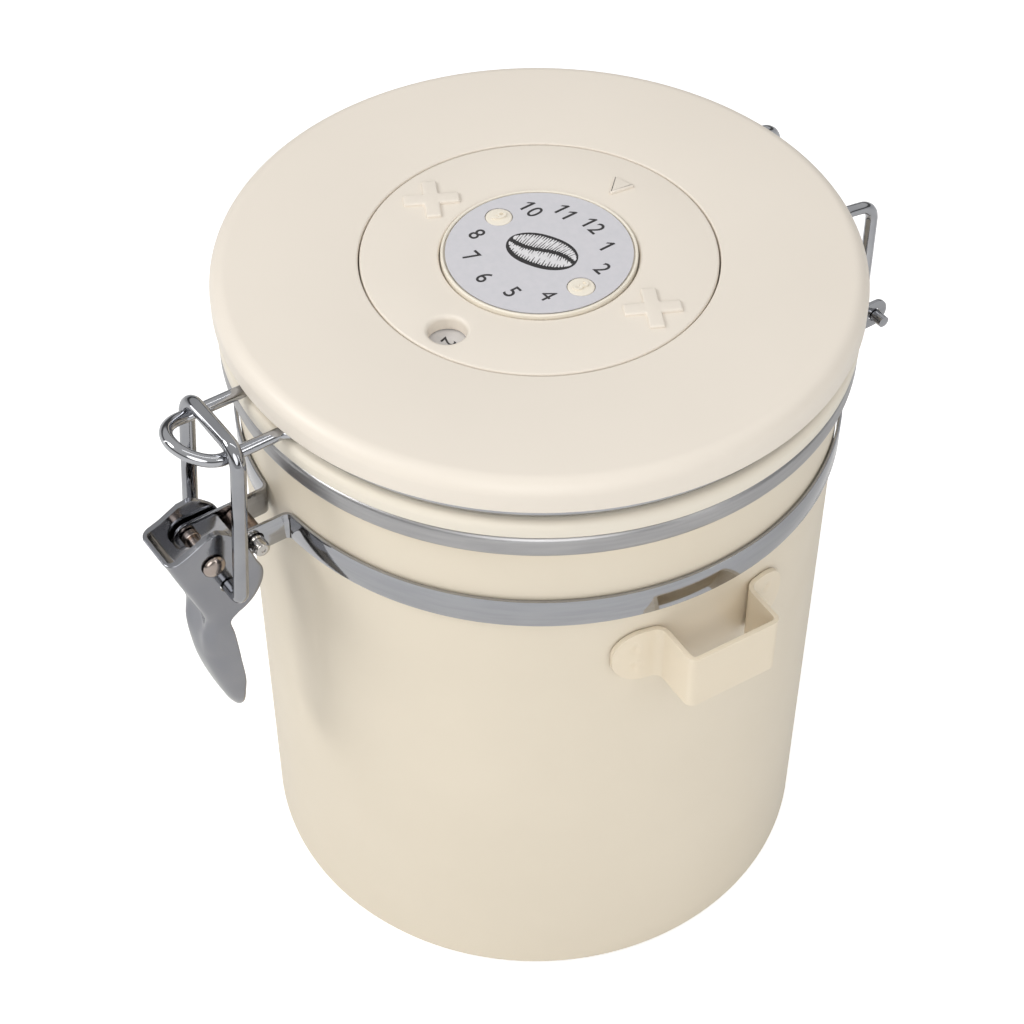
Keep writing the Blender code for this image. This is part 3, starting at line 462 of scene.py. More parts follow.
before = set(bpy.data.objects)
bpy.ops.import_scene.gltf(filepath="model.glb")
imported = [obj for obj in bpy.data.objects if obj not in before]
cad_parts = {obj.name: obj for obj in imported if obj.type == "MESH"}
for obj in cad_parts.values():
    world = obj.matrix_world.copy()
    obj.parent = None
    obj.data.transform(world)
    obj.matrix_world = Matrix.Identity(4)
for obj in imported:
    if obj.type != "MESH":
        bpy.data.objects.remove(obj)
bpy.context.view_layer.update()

cream_coat = cream("cream_coat_satin", (226, 215, 195), (222, 211, 191), 0.42, 1500, 0.012)
cream_bracket = cream("cream_bracket_satin", (230, 217, 194), (226, 213, 190), 0.42, 1500, 0.012)
cream_shell = cream("cream_lid_satin", (233, 224, 211), (230, 221, 208), 0.44, 2200, 0.01)
cream_base = cream("cream_lid_under_satin", (231, 223, 208), (228, 220, 204), 0.44, 2200, 0.01)
cream_disc = cream("cream_disc_satin", (233, 224, 211), (230, 221, 208), 0.44, 2200, 0.01)
cream_dial = cream("cream_dial_satin", (238, 230, 215), (235, 227, 211), 0.44, 2200, 0.01)
label_silver = soft_matt("label_silver_print", (209, 207, 211), (204, 203, 207), 0.5, 700, 0.003)
# The day ring's silver print is written lighter than the label's: painted light, offsetting the shade the
# ring lies in under the window.
day_ring_silver_painted_light = soft_matt("ring_silver_print", (216, 213, 211), (210, 207, 205), 0.5, 700, 0.003)
number_ink = ink("number_ink", (44, 42, 43), (56, 54, 55))
picture_ink = ink("picture_ink", (36, 34, 35), (46, 44, 45))
picture_paper = soft_matt("picture_paper", (226, 225, 226), (214, 212, 214), 0.5, 900, 0.003)
band_bright = metal("band_polished", (170, 171, 174), (163, 164, 168), 0.07, (1, 1, 14), 90, 0.0015)
bracket_bright = metal("hinge_strip_polished", (170, 171, 174), (163, 164, 168), 0.09, (1, 1, 14), 90, 0.0015)
# The lever's steel is written darker than the band's: painted shade, standing for the shadowed floor that the
# lever's faces reflect.
lever_steel_painted_shade = metal("lever_mirror_polish_painted_shade", (148, 149, 153), (141, 142, 147), 0.14, (3, 1, 1), 60, 0.002)
bail_bright = metal("bail_bright_wire", (163, 164, 167), (155, 156, 160), 0.06, (1, 1, 1), 150, 0.002)
wire_bright = metal("lid_bright_wire", (182, 183, 186), (172, 173, 177), 0.06, (1, 1, 1), 150, 0.002)
rim_steel = metal("rim_bare_steel", (177, 176, 176), (167, 166, 167), 0.36, (1, 1, 14), 80, 0.002)
inside_steel = metal("inside_drawn_steel", (188, 187, 186), (178, 177, 177), 0.28, (1, 1, 24), 40)
pin_metal = metal("pin_nickel_plate", (196, 192, 187), (184, 180, 175), 0.14)
# The sleeve's nickel is tinted dark brown: a painted reflection of the lever's dark inside.
sleeve_nickel_painted_reflection = metal("sleeve_dull_nickel_painted_reflection", (150, 134, 124), (134, 118, 109), 0.24)
rivet_metal = metal("rivet_brown_nickel", (172, 160, 152), (158, 145, 137), 0.2)
zinc = metal("zinc_plate", (184, 184, 186), (170, 170, 174), 0.3)
washer_metal = metal("washer_zinc_plate", (187, 187, 189), (175, 175, 178), 0.3)
gasket_white = soft_matt("gasket_silicone_matt", (228, 225, 218), (220, 217, 209), 0.6, 300, 0.01)
flap_white = soft_matt("flap_silicone_matt", (232, 230, 224), (226, 224, 217), 0.6, 300, 0.01)
felt_white = soft_matt("filter_felt_fibres", (238, 235, 228), (214, 210, 200), 0.95, 1800, 0.2)
cap_cream = cream("cap_satin", (230, 222, 208), (226, 218, 203), 0.45, 2200, 0.01)


# ---- can, band and brackets

def steel_can():
    """Drawn can: raised bottom, coat outside, bare steel inside and at the flat-sided rolled rim."""
    foot_x, foot_bend, foot_inner = 57.7, 1.5, 50.6
    inside_r, middle = CAN_R - 0.8, 70
    bead_r, bead_low, coat_top = 1.2, 131.4, 131.9
    roll = (CAN_R - 0.6 + RIM_ROLL_R, CAN_TOP - RIM_ROLL_R)
    bead_x = roll[0] + 0.3
    outline = [(0, 0.35), (foot_inner - 1.6, 0.35), (foot_inner, 0)]
    outline += [*arc((foot_x, foot_bend), foot_bend, -90, 0, 8), (59.22, 20), (59.3, middle)]
    outline += [(CAN_R, bead_low + 0.3), (CAN_R, bead_low + 0.55)]
    outline += arc((bead_x, bead_low + bead_r), bead_r, -150, 0, 12)
    outline += arc((bead_x, CAN_TOP - bead_r), bead_r, 0, 90, 10)
    outline += [*arc(roll, RIM_ROLL_R, 96, 180, 10), (inside_r, middle), (inside_r, 1.8)]
    outline += [*arc((foot_x, 1.8), 0.9, 0, -90, 6), (51, 0.9), (49.4, 1.1), (0, 1.1)]
    can = turned("steel_can", outline, CAN_STEPS, closed=False)

    def surface(at, _):
        if at.z > coat_top:
            return 1
        inside = math.hypot(at.x, at.y) < CAN_R - 0.4 and at.z > 1.0
        return 2 if inside else 0

    paint(can, [cream_coat, rim_steel, inside_steel], surface)
    return finish(can, "canister", None, ["canister_body"], 30)


def clamp_strip():
    """Strip round the neck, its two ends bent out as the latch's ears."""
    bend_r, ear_round, edge_r = 1.4, 3.2, 0.14
    pin_hole, rivet_hole, through = 1.9, 1.5, 8
    corner, angle = ring_corner(BAND_RING_R, EAR_X, bend_r, True)
    reach = -PIVOT[0] + ear_round
    path = [(-EAR_X, -reach), *[(-x, -y) for x, y in corner[:-1]]]
    path += arc((0, 0), BAND_RING_R, 180 + angle, -angle, 180)
    path += [*[(x, -y) for x, y in corner[-2::-1]], (EAR_X, -reach)]
    round_ends = [(lambda v: v.y < -reach + 0.1, ear_round - 0.05)]
    strip = bent_strip("clamp_strip", path, BAND_LOW, BAND_HIGH, BAND_THICK, round_ends, edge_r)
    drill(strip, pin_hole, (0, *PIN), through)
    drill(strip, rivet_hole, (0, *PIVOT), through)
    return finish(strip, "canister", band_bright, ["clamp_band"], 40)


def clamp_pins():
    """Clamp pin with a turned end, its sleeve between the ears, and the lever's domed rivet."""
    pin_r, neck_r, head = 1.6, 1.35, 6.6
    ends = [(0, -5.7), *arc((1.1, -5.2), 0.5, -90, 0, 4), (pin_r, 4.9), (neck_r, 5.15), (neck_r, 5.35)]
    ends += [(pin_r, 5.6), (pin_r, head), *arc((1.0, head + 0.3), 0.6, 0, 90, 4)]
    ends += [(0.5, 7.5), (0.4, 7.3), (0, 7.3)]
    pin = turned("clamp_pin_turned", ends, 40, False, "X", (0, *PIN))
    finish(pin, "canister", pin_metal, ["clamp_pin"])

    half, bore, sleeve_r, edge = 3.35, 1.9, 2.5, 0.2
    outline = [(bore, -half), (sleeve_r - edge, -half), (sleeve_r, -half + edge)]
    outline += [(sleeve_r, half - edge), (sleeve_r - edge, half), (bore, half)]
    sleeve = turned("clamp_pin_sleeve", outline, 40, True, "X", (0, *PIN))
    finish(sleeve, "canister", sleeve_nickel_painted_reflection, ["clamp_sleeve"])

    cheek, shank, collar, dome_r, dome_h = 6.2, 1.2, 1.75, 2.35, 1.1
    turns = [math.pi / 2 * i / 8 for i in range(8)]
    dome = [(dome_r * math.cos(a), dome_h * math.sin(a)) for a in turns] + [(0, dome_h)]
    outline = [(r, -cheek - h) for r, h in dome[::-1]] + [(2.2, -cheek), (shank, -cheek), (shank, -half)]
    outline += [(1.6, -half), (collar, -3.2), (collar, -2.0), (1.6, -1.85), (shank, -1.85)]
    outline += [(shank, cheek), (2.2, cheek)] + [(r, cheek + h) for r, h in dome]
    rivet = turned("lever_rivet_domed", outline, 40, False, "X", (0, *PIVOT))
    finish(rivet, "canister", rivet_metal, ["lever_rivet"])


def hinge_strip():
    """Strip on the back of the band, its two ends bent out as the lid's hinge ears."""
    ring, ear_x, bend_r, ear_round = 61.1, 19.5, 1.2, 3.2
    thick, edge_r, hole, through = 0.8, 0.16, 1.55, 24
    corner, angle = ring_corner(ring, ear_x, bend_r, False)
    reach = HINGE[0] + ear_round
    path = [(ear_x, reach), *corner[:-1], *arc((0, 0), ring, angle, 180 - angle, 40)]
    path += [*[(-x, y) for x, y in corner[-2::-1]], (-ear_x, reach)]
    round_ends = [(lambda v: v.y > reach - 0.1, ear_round - 0.05)]
    strip = bent_strip("hinge_strip", path, HINGE_STRIP_LOW, HINGE_STRIP_HIGH, thick, round_ends, edge_r)
    drill(strip, hole, (0, *HINGE), through)
    return finish(strip, "canister", bracket_bright, ["hinge_bracket"], 40)


def press_dents(piece, ring, places, reach, deep):
    """Presses round weld dents into the outer face of a strip on a ring, at (azimuth, height) places."""
    for point in piece.data.vertices:
        at = point.co / MM
        out = math.hypot(at.x, at.y)
        if out < ring:
            continue
        for azimuth, height in places:
            across = math.radians(math.degrees(math.atan2(at.y, at.x)) - azimuth) * ring
            share = math.hypot(across, at.z - height) / reach
            if share < 1:
                inward = deep * (1 - share * share) ** 2 / out
                point.co.x -= point.co.x * inward
                point.co.y -= point.co.y * inward


def spoon_loop():
    """Square loop for a spoon's handle, with a round spot-welded tab at each side."""
    thick, low, high, rows = 0.9, 93.8, 106.8, 26
    ring = CAN_R + 0.3 + thick / 2
    wall, front = (20.3 - thick) / 2, CAN_R + 10.5 - thick / 2
    foot_bend, corner_bend, tab_round = 2.4, 1.3, 6.0
    tab_end = 90 - 18.75
    facing = -92.9
    corner, angle = ring_corner(ring, wall, foot_bend, True)
    half = arc((0, 0), ring, tab_end, angle, 20) + corner[-2::-1]
    bends = [0, corner_bend, corner_bend, 0]
    loop = rounded_path([half[-1], (wall, front), (-wall, front), (-half[-1][0], half[-1][1])], bends)
    path = half + [tuple(p) for p in loop[1:-1]] + [(-x, y) for x, y in half[::-1]]
    end_x = max(x for x, _ in path)
    strip = draw_line("spoon_loop", [(x, y, low) for x, y in path])
    select_whole()
    for _ in range(rows):
        bpy.ops.mesh.extrude_region_move(TRANSFORM_OT_translate={"value": (0, 0, (high - low) / rows * MM)})
    close_mesh()
    thicken(strip, thick)
    box = [(-end_x, low, 0), (end_x, low, 0), (end_x, high, 0), (-end_x, high, 0)]
    face = rounded_path(box, [tab_round] * 4, closed=True, steps=14)
    combine(strip, raised("tab_shape", [(x, z) for x, z, _ in face], 0, 120, axis="Y"), "INTERSECT")
    soften(strip, 0.2, 3, 50)
    welds = [(90 + side * 14.2, height) for side in (-1, 1) for height in (102.7, 97.9)]
    press_dents(strip, ring, welds, 1.3, 0.4)
    place_on_lid(strip, facing)
    return finish(strip, "canister", cream_bracket, ["spoon_bracket"], 40)


# ---- latch

# Lines of the lever's web and of its free edge, as (out, up) shares of the head's box and
# as (out, down) shares of the tongue's length, counted from the tongue's root
WEB_SHARES = (
    (1.017, 0.850), (0.959, 0.714), (0.907, 0.587), (0.852, 0.456), (0.797, 0.334),
    (0.747, 0.216), (0.703, 0.108), (0.665, 0.010), (0.641, -0.084), (0.650, -0.183),
)
EDGE_SHARES = (
    (0.305, 0.939), (0.154, 0.803), (0.091, 0.653), (0.022, 0.475), (-0.033, 0.348),
    (-0.011, 0.207), (0.088, 0.066), (0.203, -0.014), (0.313, -0.061), (0.401, -0.136),
)
TONGUE_SHARES = (
    (0.048, 0.098), (0.057, 0.221), (0.044, 0.352), (0.015, 0.482),
    (-0.018, 0.596), (-0.061, 0.726), (-0.106, 0.838), (-0.161, 0.936),
)
TONGUE_EDGE_SHARES = (
    (-0.145, 0.081), (-0.158, 0.221), (-0.168, 0.352), (-0.181, 0.479),
    (-0.189, 0.583), (-0.186, 0.697), (-0.186, 0.812), (-0.184, 0.914),
)


def lever_point(share_out, share_up):
    """(out, up) place from the rivet of a point given in shares of the head's box."""
    wide, tall = 18.2, 21.3
    rivet_out, rivet_up = 0.522, 0.667
    return Vector(((share_out - rivet_out) * wide, (share_up - rivet_up) * tall))


def channel_section(half, depth, hollow, dish, crest, trim):
    """(across, inward, rise) points of the pressed channel: its outer face, then its inner face.

    hollow is 0 for a channel with a flat web and 1 for a spoon's plain round. dish is the web's
    hollow, crest is 1 where the cheeks' top edge arches up, and trim draws the edge in to round it.
    """
    bend = min(LEVER_BEND, depth * 0.9, half * 0.9)
    inner_bend = min(max(bend - LEVER_T, 0.2 * LEVER_T), (depth - LEVER_T) * 0.9)
    faces = []
    for side, floor, bend_r, way in ((half, 0, bend, 1), (half - LEVER_T, LEVER_T, inner_bend, -1)):
        start = floor + bend_r
        lip = min(0.3, (depth - start) * 0.8)
        points = []
        for i in range(5):
            turn = math.pi / 2 * (1 - i / 4)
            points.append((side - way * lip * (1 - math.cos(turn)), depth - lip + lip * math.sin(turn)))
        points += [(side, start + (depth - lip - start) * share) for share in (0.85, 0.6, 0.4, 0.2, 0.0)]
        points += [(x, start - y) for x, y in arc((side - bend_r, 0), bend_r, 0, 90, 8)][1:]
        reach = side - bend_r
        for share in (0.88, 0.76, 0.64, 0.52, 0.4, 0.28, 0.14, 0.0):
            points.append((reach * share, floor + dish * (1 - share**2) ** 2))
        rounded = []
        for x, y in points:
            turn = math.atan2((depth - y) / (depth - floor), x / side)
            rounded.append((
                x + hollow * (side * math.cos(turn) - x),
                y + hollow * (depth - (depth - floor) * math.sin(turn) - y),
            ))
        whole = rounded + [(-x, y) for x, y in rounded[-2::-1]]
        inset = way * trim
        face = []
        for x, y in whole:
            share = y / depth
            rise = crest * LEVER_CREST * share**3 * (1 - share) * 256 / 27
            along_floor = min(max((start - y) / bend_r, 0), 1) if bend_r else 0
            x -= math.copysign(min(abs(x), inset) * (1 - along_floor), x)
            face.append((x, y + inset * along_floor, rise))
        faces.append(face)
    return faces


def lever_stations():
    """Points of the web and of the free edge, from the top edge down to the tongue's tip."""
    web = [lever_point(*share) for share in WEB_SHARES]
    edge = [lever_point(*share) for share in EDGE_SHARES]
    root = lever_point(0.618, -0.183)
    for line, shares in ((web, TONGUE_SHARES), (edge, TONGUE_EDGE_SHARES)):
        line += [root + Vector((out, -down)) * TONGUE_LONG for out, down in shares]
    steps = 6
    return smooth_curve(web, steps), smooth_curve(edge, steps), steps * (len(WEB_SHARES) - 1)


def lever():
    """Pressed lever: one channel of web and cheeks, running out into the dished thumb tongue."""
    dish_deep, most_hollow, tip_cut = 0.9, 0.8, 0.972
    rivet_hole, through = 1.5, 8
    web, edge, head_steps = lever_stations()
    turns = [math.pi / 6 * i for i in range(4)]
    round_off = [(LEVER_EDGE * (1 - math.cos(a)), LEVER_EDGE * math.sin(a)) for a in turns]
    last = len(web) - 1
    plan = [(0, trim, rise - LEVER_EDGE) for trim, rise in round_off[::-1]]
    plan += [(i, 0, 0) for i in range(1, last)]
    plan += [(last, trim, LEVER_EDGE - rise) for trim, rise in round_off]
    work = bmesh.new()
    rings = []
    for i, trim, lift in plan:
        near, far = web[i], edge[i]
        share = max(i - head_steps, 0) / (last - head_steps)
        taper = math.sqrt(1 - (share * tip_cut) ** 3.3)
        depth = max((far - near).length, LEVER_T + 0.05)
        inward = (far - near).normalized()
        up = Vector((inward.y, -inward.x))
        dish = dish_deep * min(i / head_steps, 1) * taper
        hollow = most_hollow * min(share / 0.3, 1)
        crest = 1 if i == 0 else 0
        ring = []
        for face in channel_section(LEVER_HALF * taper, depth, hollow, dish, crest, trim):
            row = []
            for x, y, rise in face:
                place = near + inward * y + up * (rise + lift)
                row.append(work.verts.new((x * MM, (PIVOT[0] - place.x) * MM, (PIVOT[1] + place.y) * MM)))
            ring.append(row)
        rings.append(ring)
    for (outer, inner), (next_outer, next_inner) in zip(rings, rings[1:]):
        low = outer + inner[::-1]
        high = next_outer + next_inner[::-1]
        for j in range(len(low)):
            k = (j + 1) % len(low)
            work.faces.new((low[j], low[k], high[k], high[j]))
    for outer, inner in (rings[0], rings[-1]):
        for j in range(len(outer) - 1):
            work.faces.new((outer[j], outer[j + 1], inner[j + 1], inner[j]))
    bmesh.ops.remove_doubles(work, verts=work.verts, dist=0.0005 * MM)
    bmesh.ops.recalc_face_normals(work, faces=work.faces)
    channel = built("pressed_lever", work)
    drill(channel, rivet_hole, (0, *PIVOT), through)
    drill(channel, BAIL_R + 0.3, (0, *BAIL_FOOT), through)
    return finish(channel, "lever", lever_steel_painted_shade, ["latch_lever"], 38)


def bail():
    """Bent wire loop whose ends turn in through the lever's cheeks."""
    foot, bar, end_x = BAIL_FOOT, BAIL_BAR, 4.6
    foot_bend, bar_bend = 1.9, 4.0
    corners = [(-end_x, *foot), (-8.4, *foot), (-8.9, *bar), (10.0, *bar), (10.6, *foot), (end_x, *foot)]
    path = rounded_path(corners, [0, foot_bend, bar_bend, bar_bend, foot_bend, 0], steps=12)
    wire = round_wire("bail_loop_wire", path, BAIL_R)
    return finish(wire, "bail", bail_bright, ["bail_wire"], 50)


def lid_loop():
    """The lid's one wire: hinge pin, arm, ring in the groove, catch loop, and back."""
    arm, catch, pin_end, bend_r = 15.5, 6.8, 22.8, 3.4
    catch_y, catch_rise, catch_steps = CAN_R + 13.6, 2.3, 20
    rear, rear_angle = ring_corner(WIRE_RING_R, arm, bend_r, True)
    front, front_angle = ring_corner(WIRE_RING_R, catch, bend_r, True)
    corners = [(pin_end, *HINGE), (arm, *HINGE), (arm, 70.8, 140.3)]
    corners += [(arm, 64.0, WIRE_Z), (arm, rear[0][1], WIRE_Z)]
    half = [tuple(p) for p in rounded_path(corners, [0, 2.0, 4.5, 4.5, 0], steps=12)]
    half += [(x, y, WIRE_Z) for x, y in rear[1:-1]]
    half += [(x, y, WIRE_Z) for x, y in arc((0, 0), WIRE_RING_R, rear_angle, -front_angle, 72)]
    half += [(x, -y, WIRE_Z) for x, y in front[-2::-1]]
    for i in range(catch_steps):
        turn = math.pi / 2 * i / catch_steps
        rise = catch_rise * math.sin(turn) ** 1.5
        half.append((catch * math.cos(turn), -(catch_y + catch * math.sin(turn)), WIRE_Z + rise))
    tip = (0, -(catch_y + catch), WIRE_Z + catch_rise)
    wire = round_wire("lid_loop_wire", half + [tip] + [(-x, y, z) for x, y, z in half[::-1]], WIRE_R)
    return finish(wire, "lid", wire_bright, ["lid_wire"], 50)


# ---- lid

def lid_mouldings():
    """The lid's top moulding, its under moulding with plug and gasket seat, and the gasket."""
    lip = math.degrees(math.asin(0.15 / GROOVE_R))
    wire = (WIRE_RING_R, WIRE_Z)
    flange_edge, shoulder, well_edge = 0.9, 3.2, 0.35
    outline = [(1.8, 143.6), (36.5, 143.6), (36.5, 147.2), (50, 147.2), (50, 141.55)]
    outline += arc(wire, GROOVE_R, 180 - lip, 90, 8)
    outline += arc((FLANGE_R - flange_edge, FLANGE_LOW + flange_edge), flange_edge, -90, 0, 8)
    outline += arc((FLANGE_R - shoulder, LID_TOP - shoulder), shoulder, 0, 90, 18)
    outline += arc((WELL_R + well_edge, LID_TOP - well_edge), well_edge, 90, 180, 5)
    outline += [(WELL_R, WELL_FLOOR), (1.8, WELL_FLOOR)]
    shell = turned("lid_top_moulding", outline, CAN_STEPS)
    finish(shell, "lid", cream_shell, ["lid_shell"], 30)

    plate, seat, valve_low, plug_low = 138.95, 138.7, 133.55, 133.5
    outline = [(1.5, plate), (12.0, plate), (12.0, 133.75), (12.2, valve_low), (13.3, valve_low)]
    outline += [(13.5, 133.75), (13.5, plate), (52.5, plate), (52.5, 133.8), (52.8, plug_low)]
    outline += [(54.2, plug_low), (54.5, 133.8), (54.5, LID_LOW), (56.0, LID_LOW)]
    outline += [(56.0, seat), (61.1, seat), (61.1, LID_LOW)]
    outline += arc((61.5, 136.9), 0.4, -90, 0, 4)
    outline += arc((60.5, 138.45), 1.4, 0, 90, 10)
    outline += arc(wire, GROOVE_R, 270, 180 + lip, 8)
    outline += [(1.5, 141.25)]
    base = turned("lid_under_moulding", outline, CAN_STEPS)
    drill_ring(base, 4, 5, 1.2, 140.1, 4)
    finish(base, "lid", cream_base, ["lid_base"], 30)

    edge, groove_edge, top = 0.5, 0.25, 138.4
    outline = [(56.3, 137.0), *arc((56.8, 137.0), edge, 180, 270, 4)]
    outline += [*arc((58.2, 136.75), groove_edge, -90, 0, 2), (58.55, 136.95)]
    outline += [*arc((58.9, 136.75), groove_edge, 180, 270, 2), *arc((60.3, 137.0), edge, -90, 0, 4)]
    outline += [(60.8, top), (56.3, top)]
    gasket = turned("silicone_gasket", outline)
    finish(gasket, "lid", gasket_white, ["lid_gasket"])


def drill_ring(piece, count, ring, radius, height, half):
    """Evenly spaced round holes, upright, on a ring round the lid's axis."""
    for i in range(count):
        turn = 2 * math.pi / count * i
        drill(piece, radius, (ring * math.cos(turn), ring * math.sin(turn), height), half, "Z", 24)


def figure(character, height, thick):
    """One figure of a number, drawn on its own middle line; a one has a flag and no foot."""
    if character == "1":
        right, stem, flag = 0.12, 0.15, -0.23
        shape = [(right, 0), (right, 1), (right - 0.7 * stem, 1), (flag, 0.73), (flag, 0.6)]
        shape += [(right - stem, 0.79), (right - stem, 0)]
        return raised("figure", [(x * height, y * height) for x, y in shape], -thick / 2, thick / 2)
    narrow, bolder = 0.9, 0.006
    let_go()
    bpy.ops.object.text_add()
    words = bpy.context.active_object
    words.data.body = character
    words.data.resolution_u = 6
    words.data.offset = 0.0 if character == "4" else bolder
    words.data.extrude = thick / 2
    bpy.ops.object.convert(target="MESH")
    piece = bpy.context.active_object
    points = [v.co for v in piece.data.vertices]
    low = [min(p[i] for p in points) for i in range(2)]
    high = [max(p[i] for p in points) for i in range(2)]
    tall = height / (high[1] - low[1])
    open_mesh(piece)
    select_whole()
    bpy.ops.transform.translate(value=(-(low[0] + high[0]) / 2, -low[1], 0))
    bpy.ops.transform.resize(value=(narrow * tall * MM, tall * MM, MM), center_override=(0, 0, 0))
    tidy_faces()
    close_mesh()
    return piece


def number(text, size, thick, material, place, turn):
    """A printed or raised number of the given figure height, its middle at a place, turned flat."""
    step = 0.7 * size
    figures = []
    for i, character in enumerate(text):
        piece = figure(character, size, thick)
        place_on_lid(piece, 0, (i - (len(text) - 1) / 2) * step, -size / 2)
        figures.append(piece)
    piece = join(figures, "number") if len(figures) > 1 else figures[0]
    place_on_lid(piece, turn, *place)
    piece.data.materials.clear()
    piece.data.materials.append(material)
    return piece


def join(pieces, name):
    let_go()
    for piece in pieces:
        piece.select_set(True)
    bpy.context.view_layer.objects.active = pieces[0]
    bpy.ops.object.join()
    joined = bpy.context.active_object
    joined.name = joined.data.name = name
    return joined


def round_dial(radius, azimuth, height):
    """A place on a dial, from its radius, azimuth and height."""
    turn = math.radians(azimuth)
    return radius * math.cos(turn), radius * math.sin(turn), height


def days():
    """Fixed ring of the numbers 1 to 31, with 21 under the window."""
    inner, outer, low, high = 19.4, 34.05, 146.3, 146.8
    print_r, print_z, size, thick = 28.35, 146.815, 2.8, 0.03
    ring = turned("day_number_ring", [(inner, low), (outer, low), (outer, high), (inner, high)])
    finish(ring, "lid", day_ring_silver_painted_light, ["day_ring"])
    window, shown = DISC_TURN - 90, 21
    numbers = []
    for day in range(1, 32):
        azimuth = window - (day - shown) * 360 / 31
        place = round_dial(print_r, azimuth, print_z)
        numbers.append(number(str(day), size, thick, number_ink, place, azimuth))
    return finish(join(numbers, "day_numbers"), "lid", None)


def outer_disc():
    """Outer dial: window, raised arrow and two raised plus marks."""
    top, floor, outer, edge = LID_TOP, DISC_LOW + 0.8, 34.05, 0.45
    outline = [(6.3, DISC_LOW), (outer, DISC_LOW), *arc((33.6, top - edge), edge, 0, 90, 6)]
    outline += [*arc((19.5, top - edge), edge, 90, 180, 6), (19.05, floor), (6.3, floor)]
    disc = turned("day_disc_moulding", outline)

    def rotate(x, y, c, s):
        return x * c - y * s, x * s + y * c

    half, bar, plus_r = 5.5, 1.5, 26.3
    turn = math.radians(PLUS_TURN)
    plus = []
    for i in range(4):
        c, s = round(math.cos(math.pi / 2 * i)), round(math.sin(math.pi / 2 * i))
        plus += [rotate(x, y, c, s) for x, y in [(half, -bar), (half, bar), (bar, bar)]]
    plus = [(*rotate(x, y, math.cos(turn), math.sin(turn)), 0) for x, y in plus]
    plus = rounded_path(plus, [0.45, 0.45, 0.3] * 4, closed=True, steps=4)
    low, high, mark_edge = top - 0.5, top + 0.6, 0.42
    for side in (-1, 1):
        shape = [(p.x + side * plus_r, p.y) for p in plus]
        combine(disc, raised("plus_mark", shape, low, high, mark_edge, rounding=5), "UNION")

    wide, long, centre = 2.5, 5.3, 25.8
    back = centre + long / 3
    corners = [(-wide, back, 0), (0, back - long, 0), (wide, back, 0)]
    shape = [(p.x, p.y) for p in rounded_path(corners, [0.3] * 3, closed=True, steps=4)]
    combine(disc, raised("arrow_mark", shape, low, high, mark_edge, rounding=5), "UNION")

    hole, mouth, lip = 3.6, 4.5, 0.9
    cutter = [(0, 140), (hole, 140), *arc((mouth, top - lip), lip, 180, 90, 10), (mouth, 160), (0, 160)]
    combine(disc, turned("window_cutter", cutter, 72, False, "Z", (0, -DAY_R, 0)), "DIFFERENCE")
    place_on_lid(disc, DISC_TURN)
    return finish(disc, "day_dial", cream_disc, ["day_disc"], 30)


def inner_dial():
    """Inner dial with a thin rim, two round nubs, the silver label and its month numbers."""
    bore, hub, rim, edge, floor = 1.8, 6.0, 150.35, 0.25, 149.64
    outline = [(bore, 146.3), (hub, 146.3), (hub, DIAL_LOW), (DIAL_R, DIAL_LOW)]
    outline += [*arc((DIAL_R - edge, rim), edge, 0, 90, 5), *arc((18.4, rim), edge, 90, 180, 5)]
    outline += [(18.15, LID_TOP), (0, LID_TOP), (0, floor), (bore, floor)]
    dial = turned("month_dial_moulding", outline, 128, closed=False)
    open_mesh(dial)
    pick("EDGE", lambda e: e.is_boundary)
    bpy.ops.mesh.edge_face_add()
    tidy_faces()
    close_mesh()
    nub_r, nub_top, nub_low, nub_hole = 2.6, 150.54, 149.5, 2.72
    for side in (-1, 1):
        nub = [(0, nub_low), (nub_r, nub_low), *arc((2.3, 150.24), 0.3, 0, 90, 6), (0, nub_top)]
        combine(dial, turned("nub", nub, 48, False, "Z", (side * MONTH_R, 0, 0)), "UNION")
    place_on_lid(dial, PRINT_TURN)
    finish(dial, "month_dial", cream_dial, ["month_dial"], 30)

    outline = [(0, 150.3), (LABEL_R, 150.3), (LABEL_R, LABEL_TOP), (0, LABEL_TOP)]
    label = turned("month_label", outline, 128, closed=False)
    for side in (-1, 1):
        drill(label, nub_hole, (side * MONTH_R, 0, 150.4), 2, "Z", 48)
    place_on_lid(label, PRINT_TURN)
    finish(label, "month_dial", label_silver, ["dial_label"], 30)

    printed, raised_pair = [], []
    for month in range(1, 13):
        on_nub = month in (3, 9)
        height, size, thick = (150.7, 3.2, 0.4) if on_nub else (150.515, 3.45, 0.03)
        place = round_dial(MONTH_R, 90 - 30 * month + PRINT_TURN, height)
        group, material = (raised_pair, cream_dial) if on_nub else (printed, number_ink)
        group.append(number(str(month), size, thick, material, place, PRINT_TURN))
    finish(join(printed, "month_numbers"), "month_dial", None)
    finish(join(raised_pair, "nub_numbers"), "month_dial", None)


# ---- bean picture

BEAN_LONG = 7.3
BEAN_WIDE = 4.8


def flat_piece(name, material, rows):
    """A flat strip of faces between the points of each row and the next."""
    work = bmesh.new()
    rows = [[work.verts.new(Vector(point) * MM) for point in row] for row in rows]
    for (a, b), (c, d) in zip(rows, rows[1:]):
        work.faces.new((a, c, d, b))
    bmesh.ops.recalc_face_normals(work, faces=work.faces)
    if sum(face.normal.z for face in work.faces) < 0:
        bmesh.ops.reverse_faces(work, faces=work.faces)
    piece = built(name, work)
    piece.data.materials.append(material)
    return piece


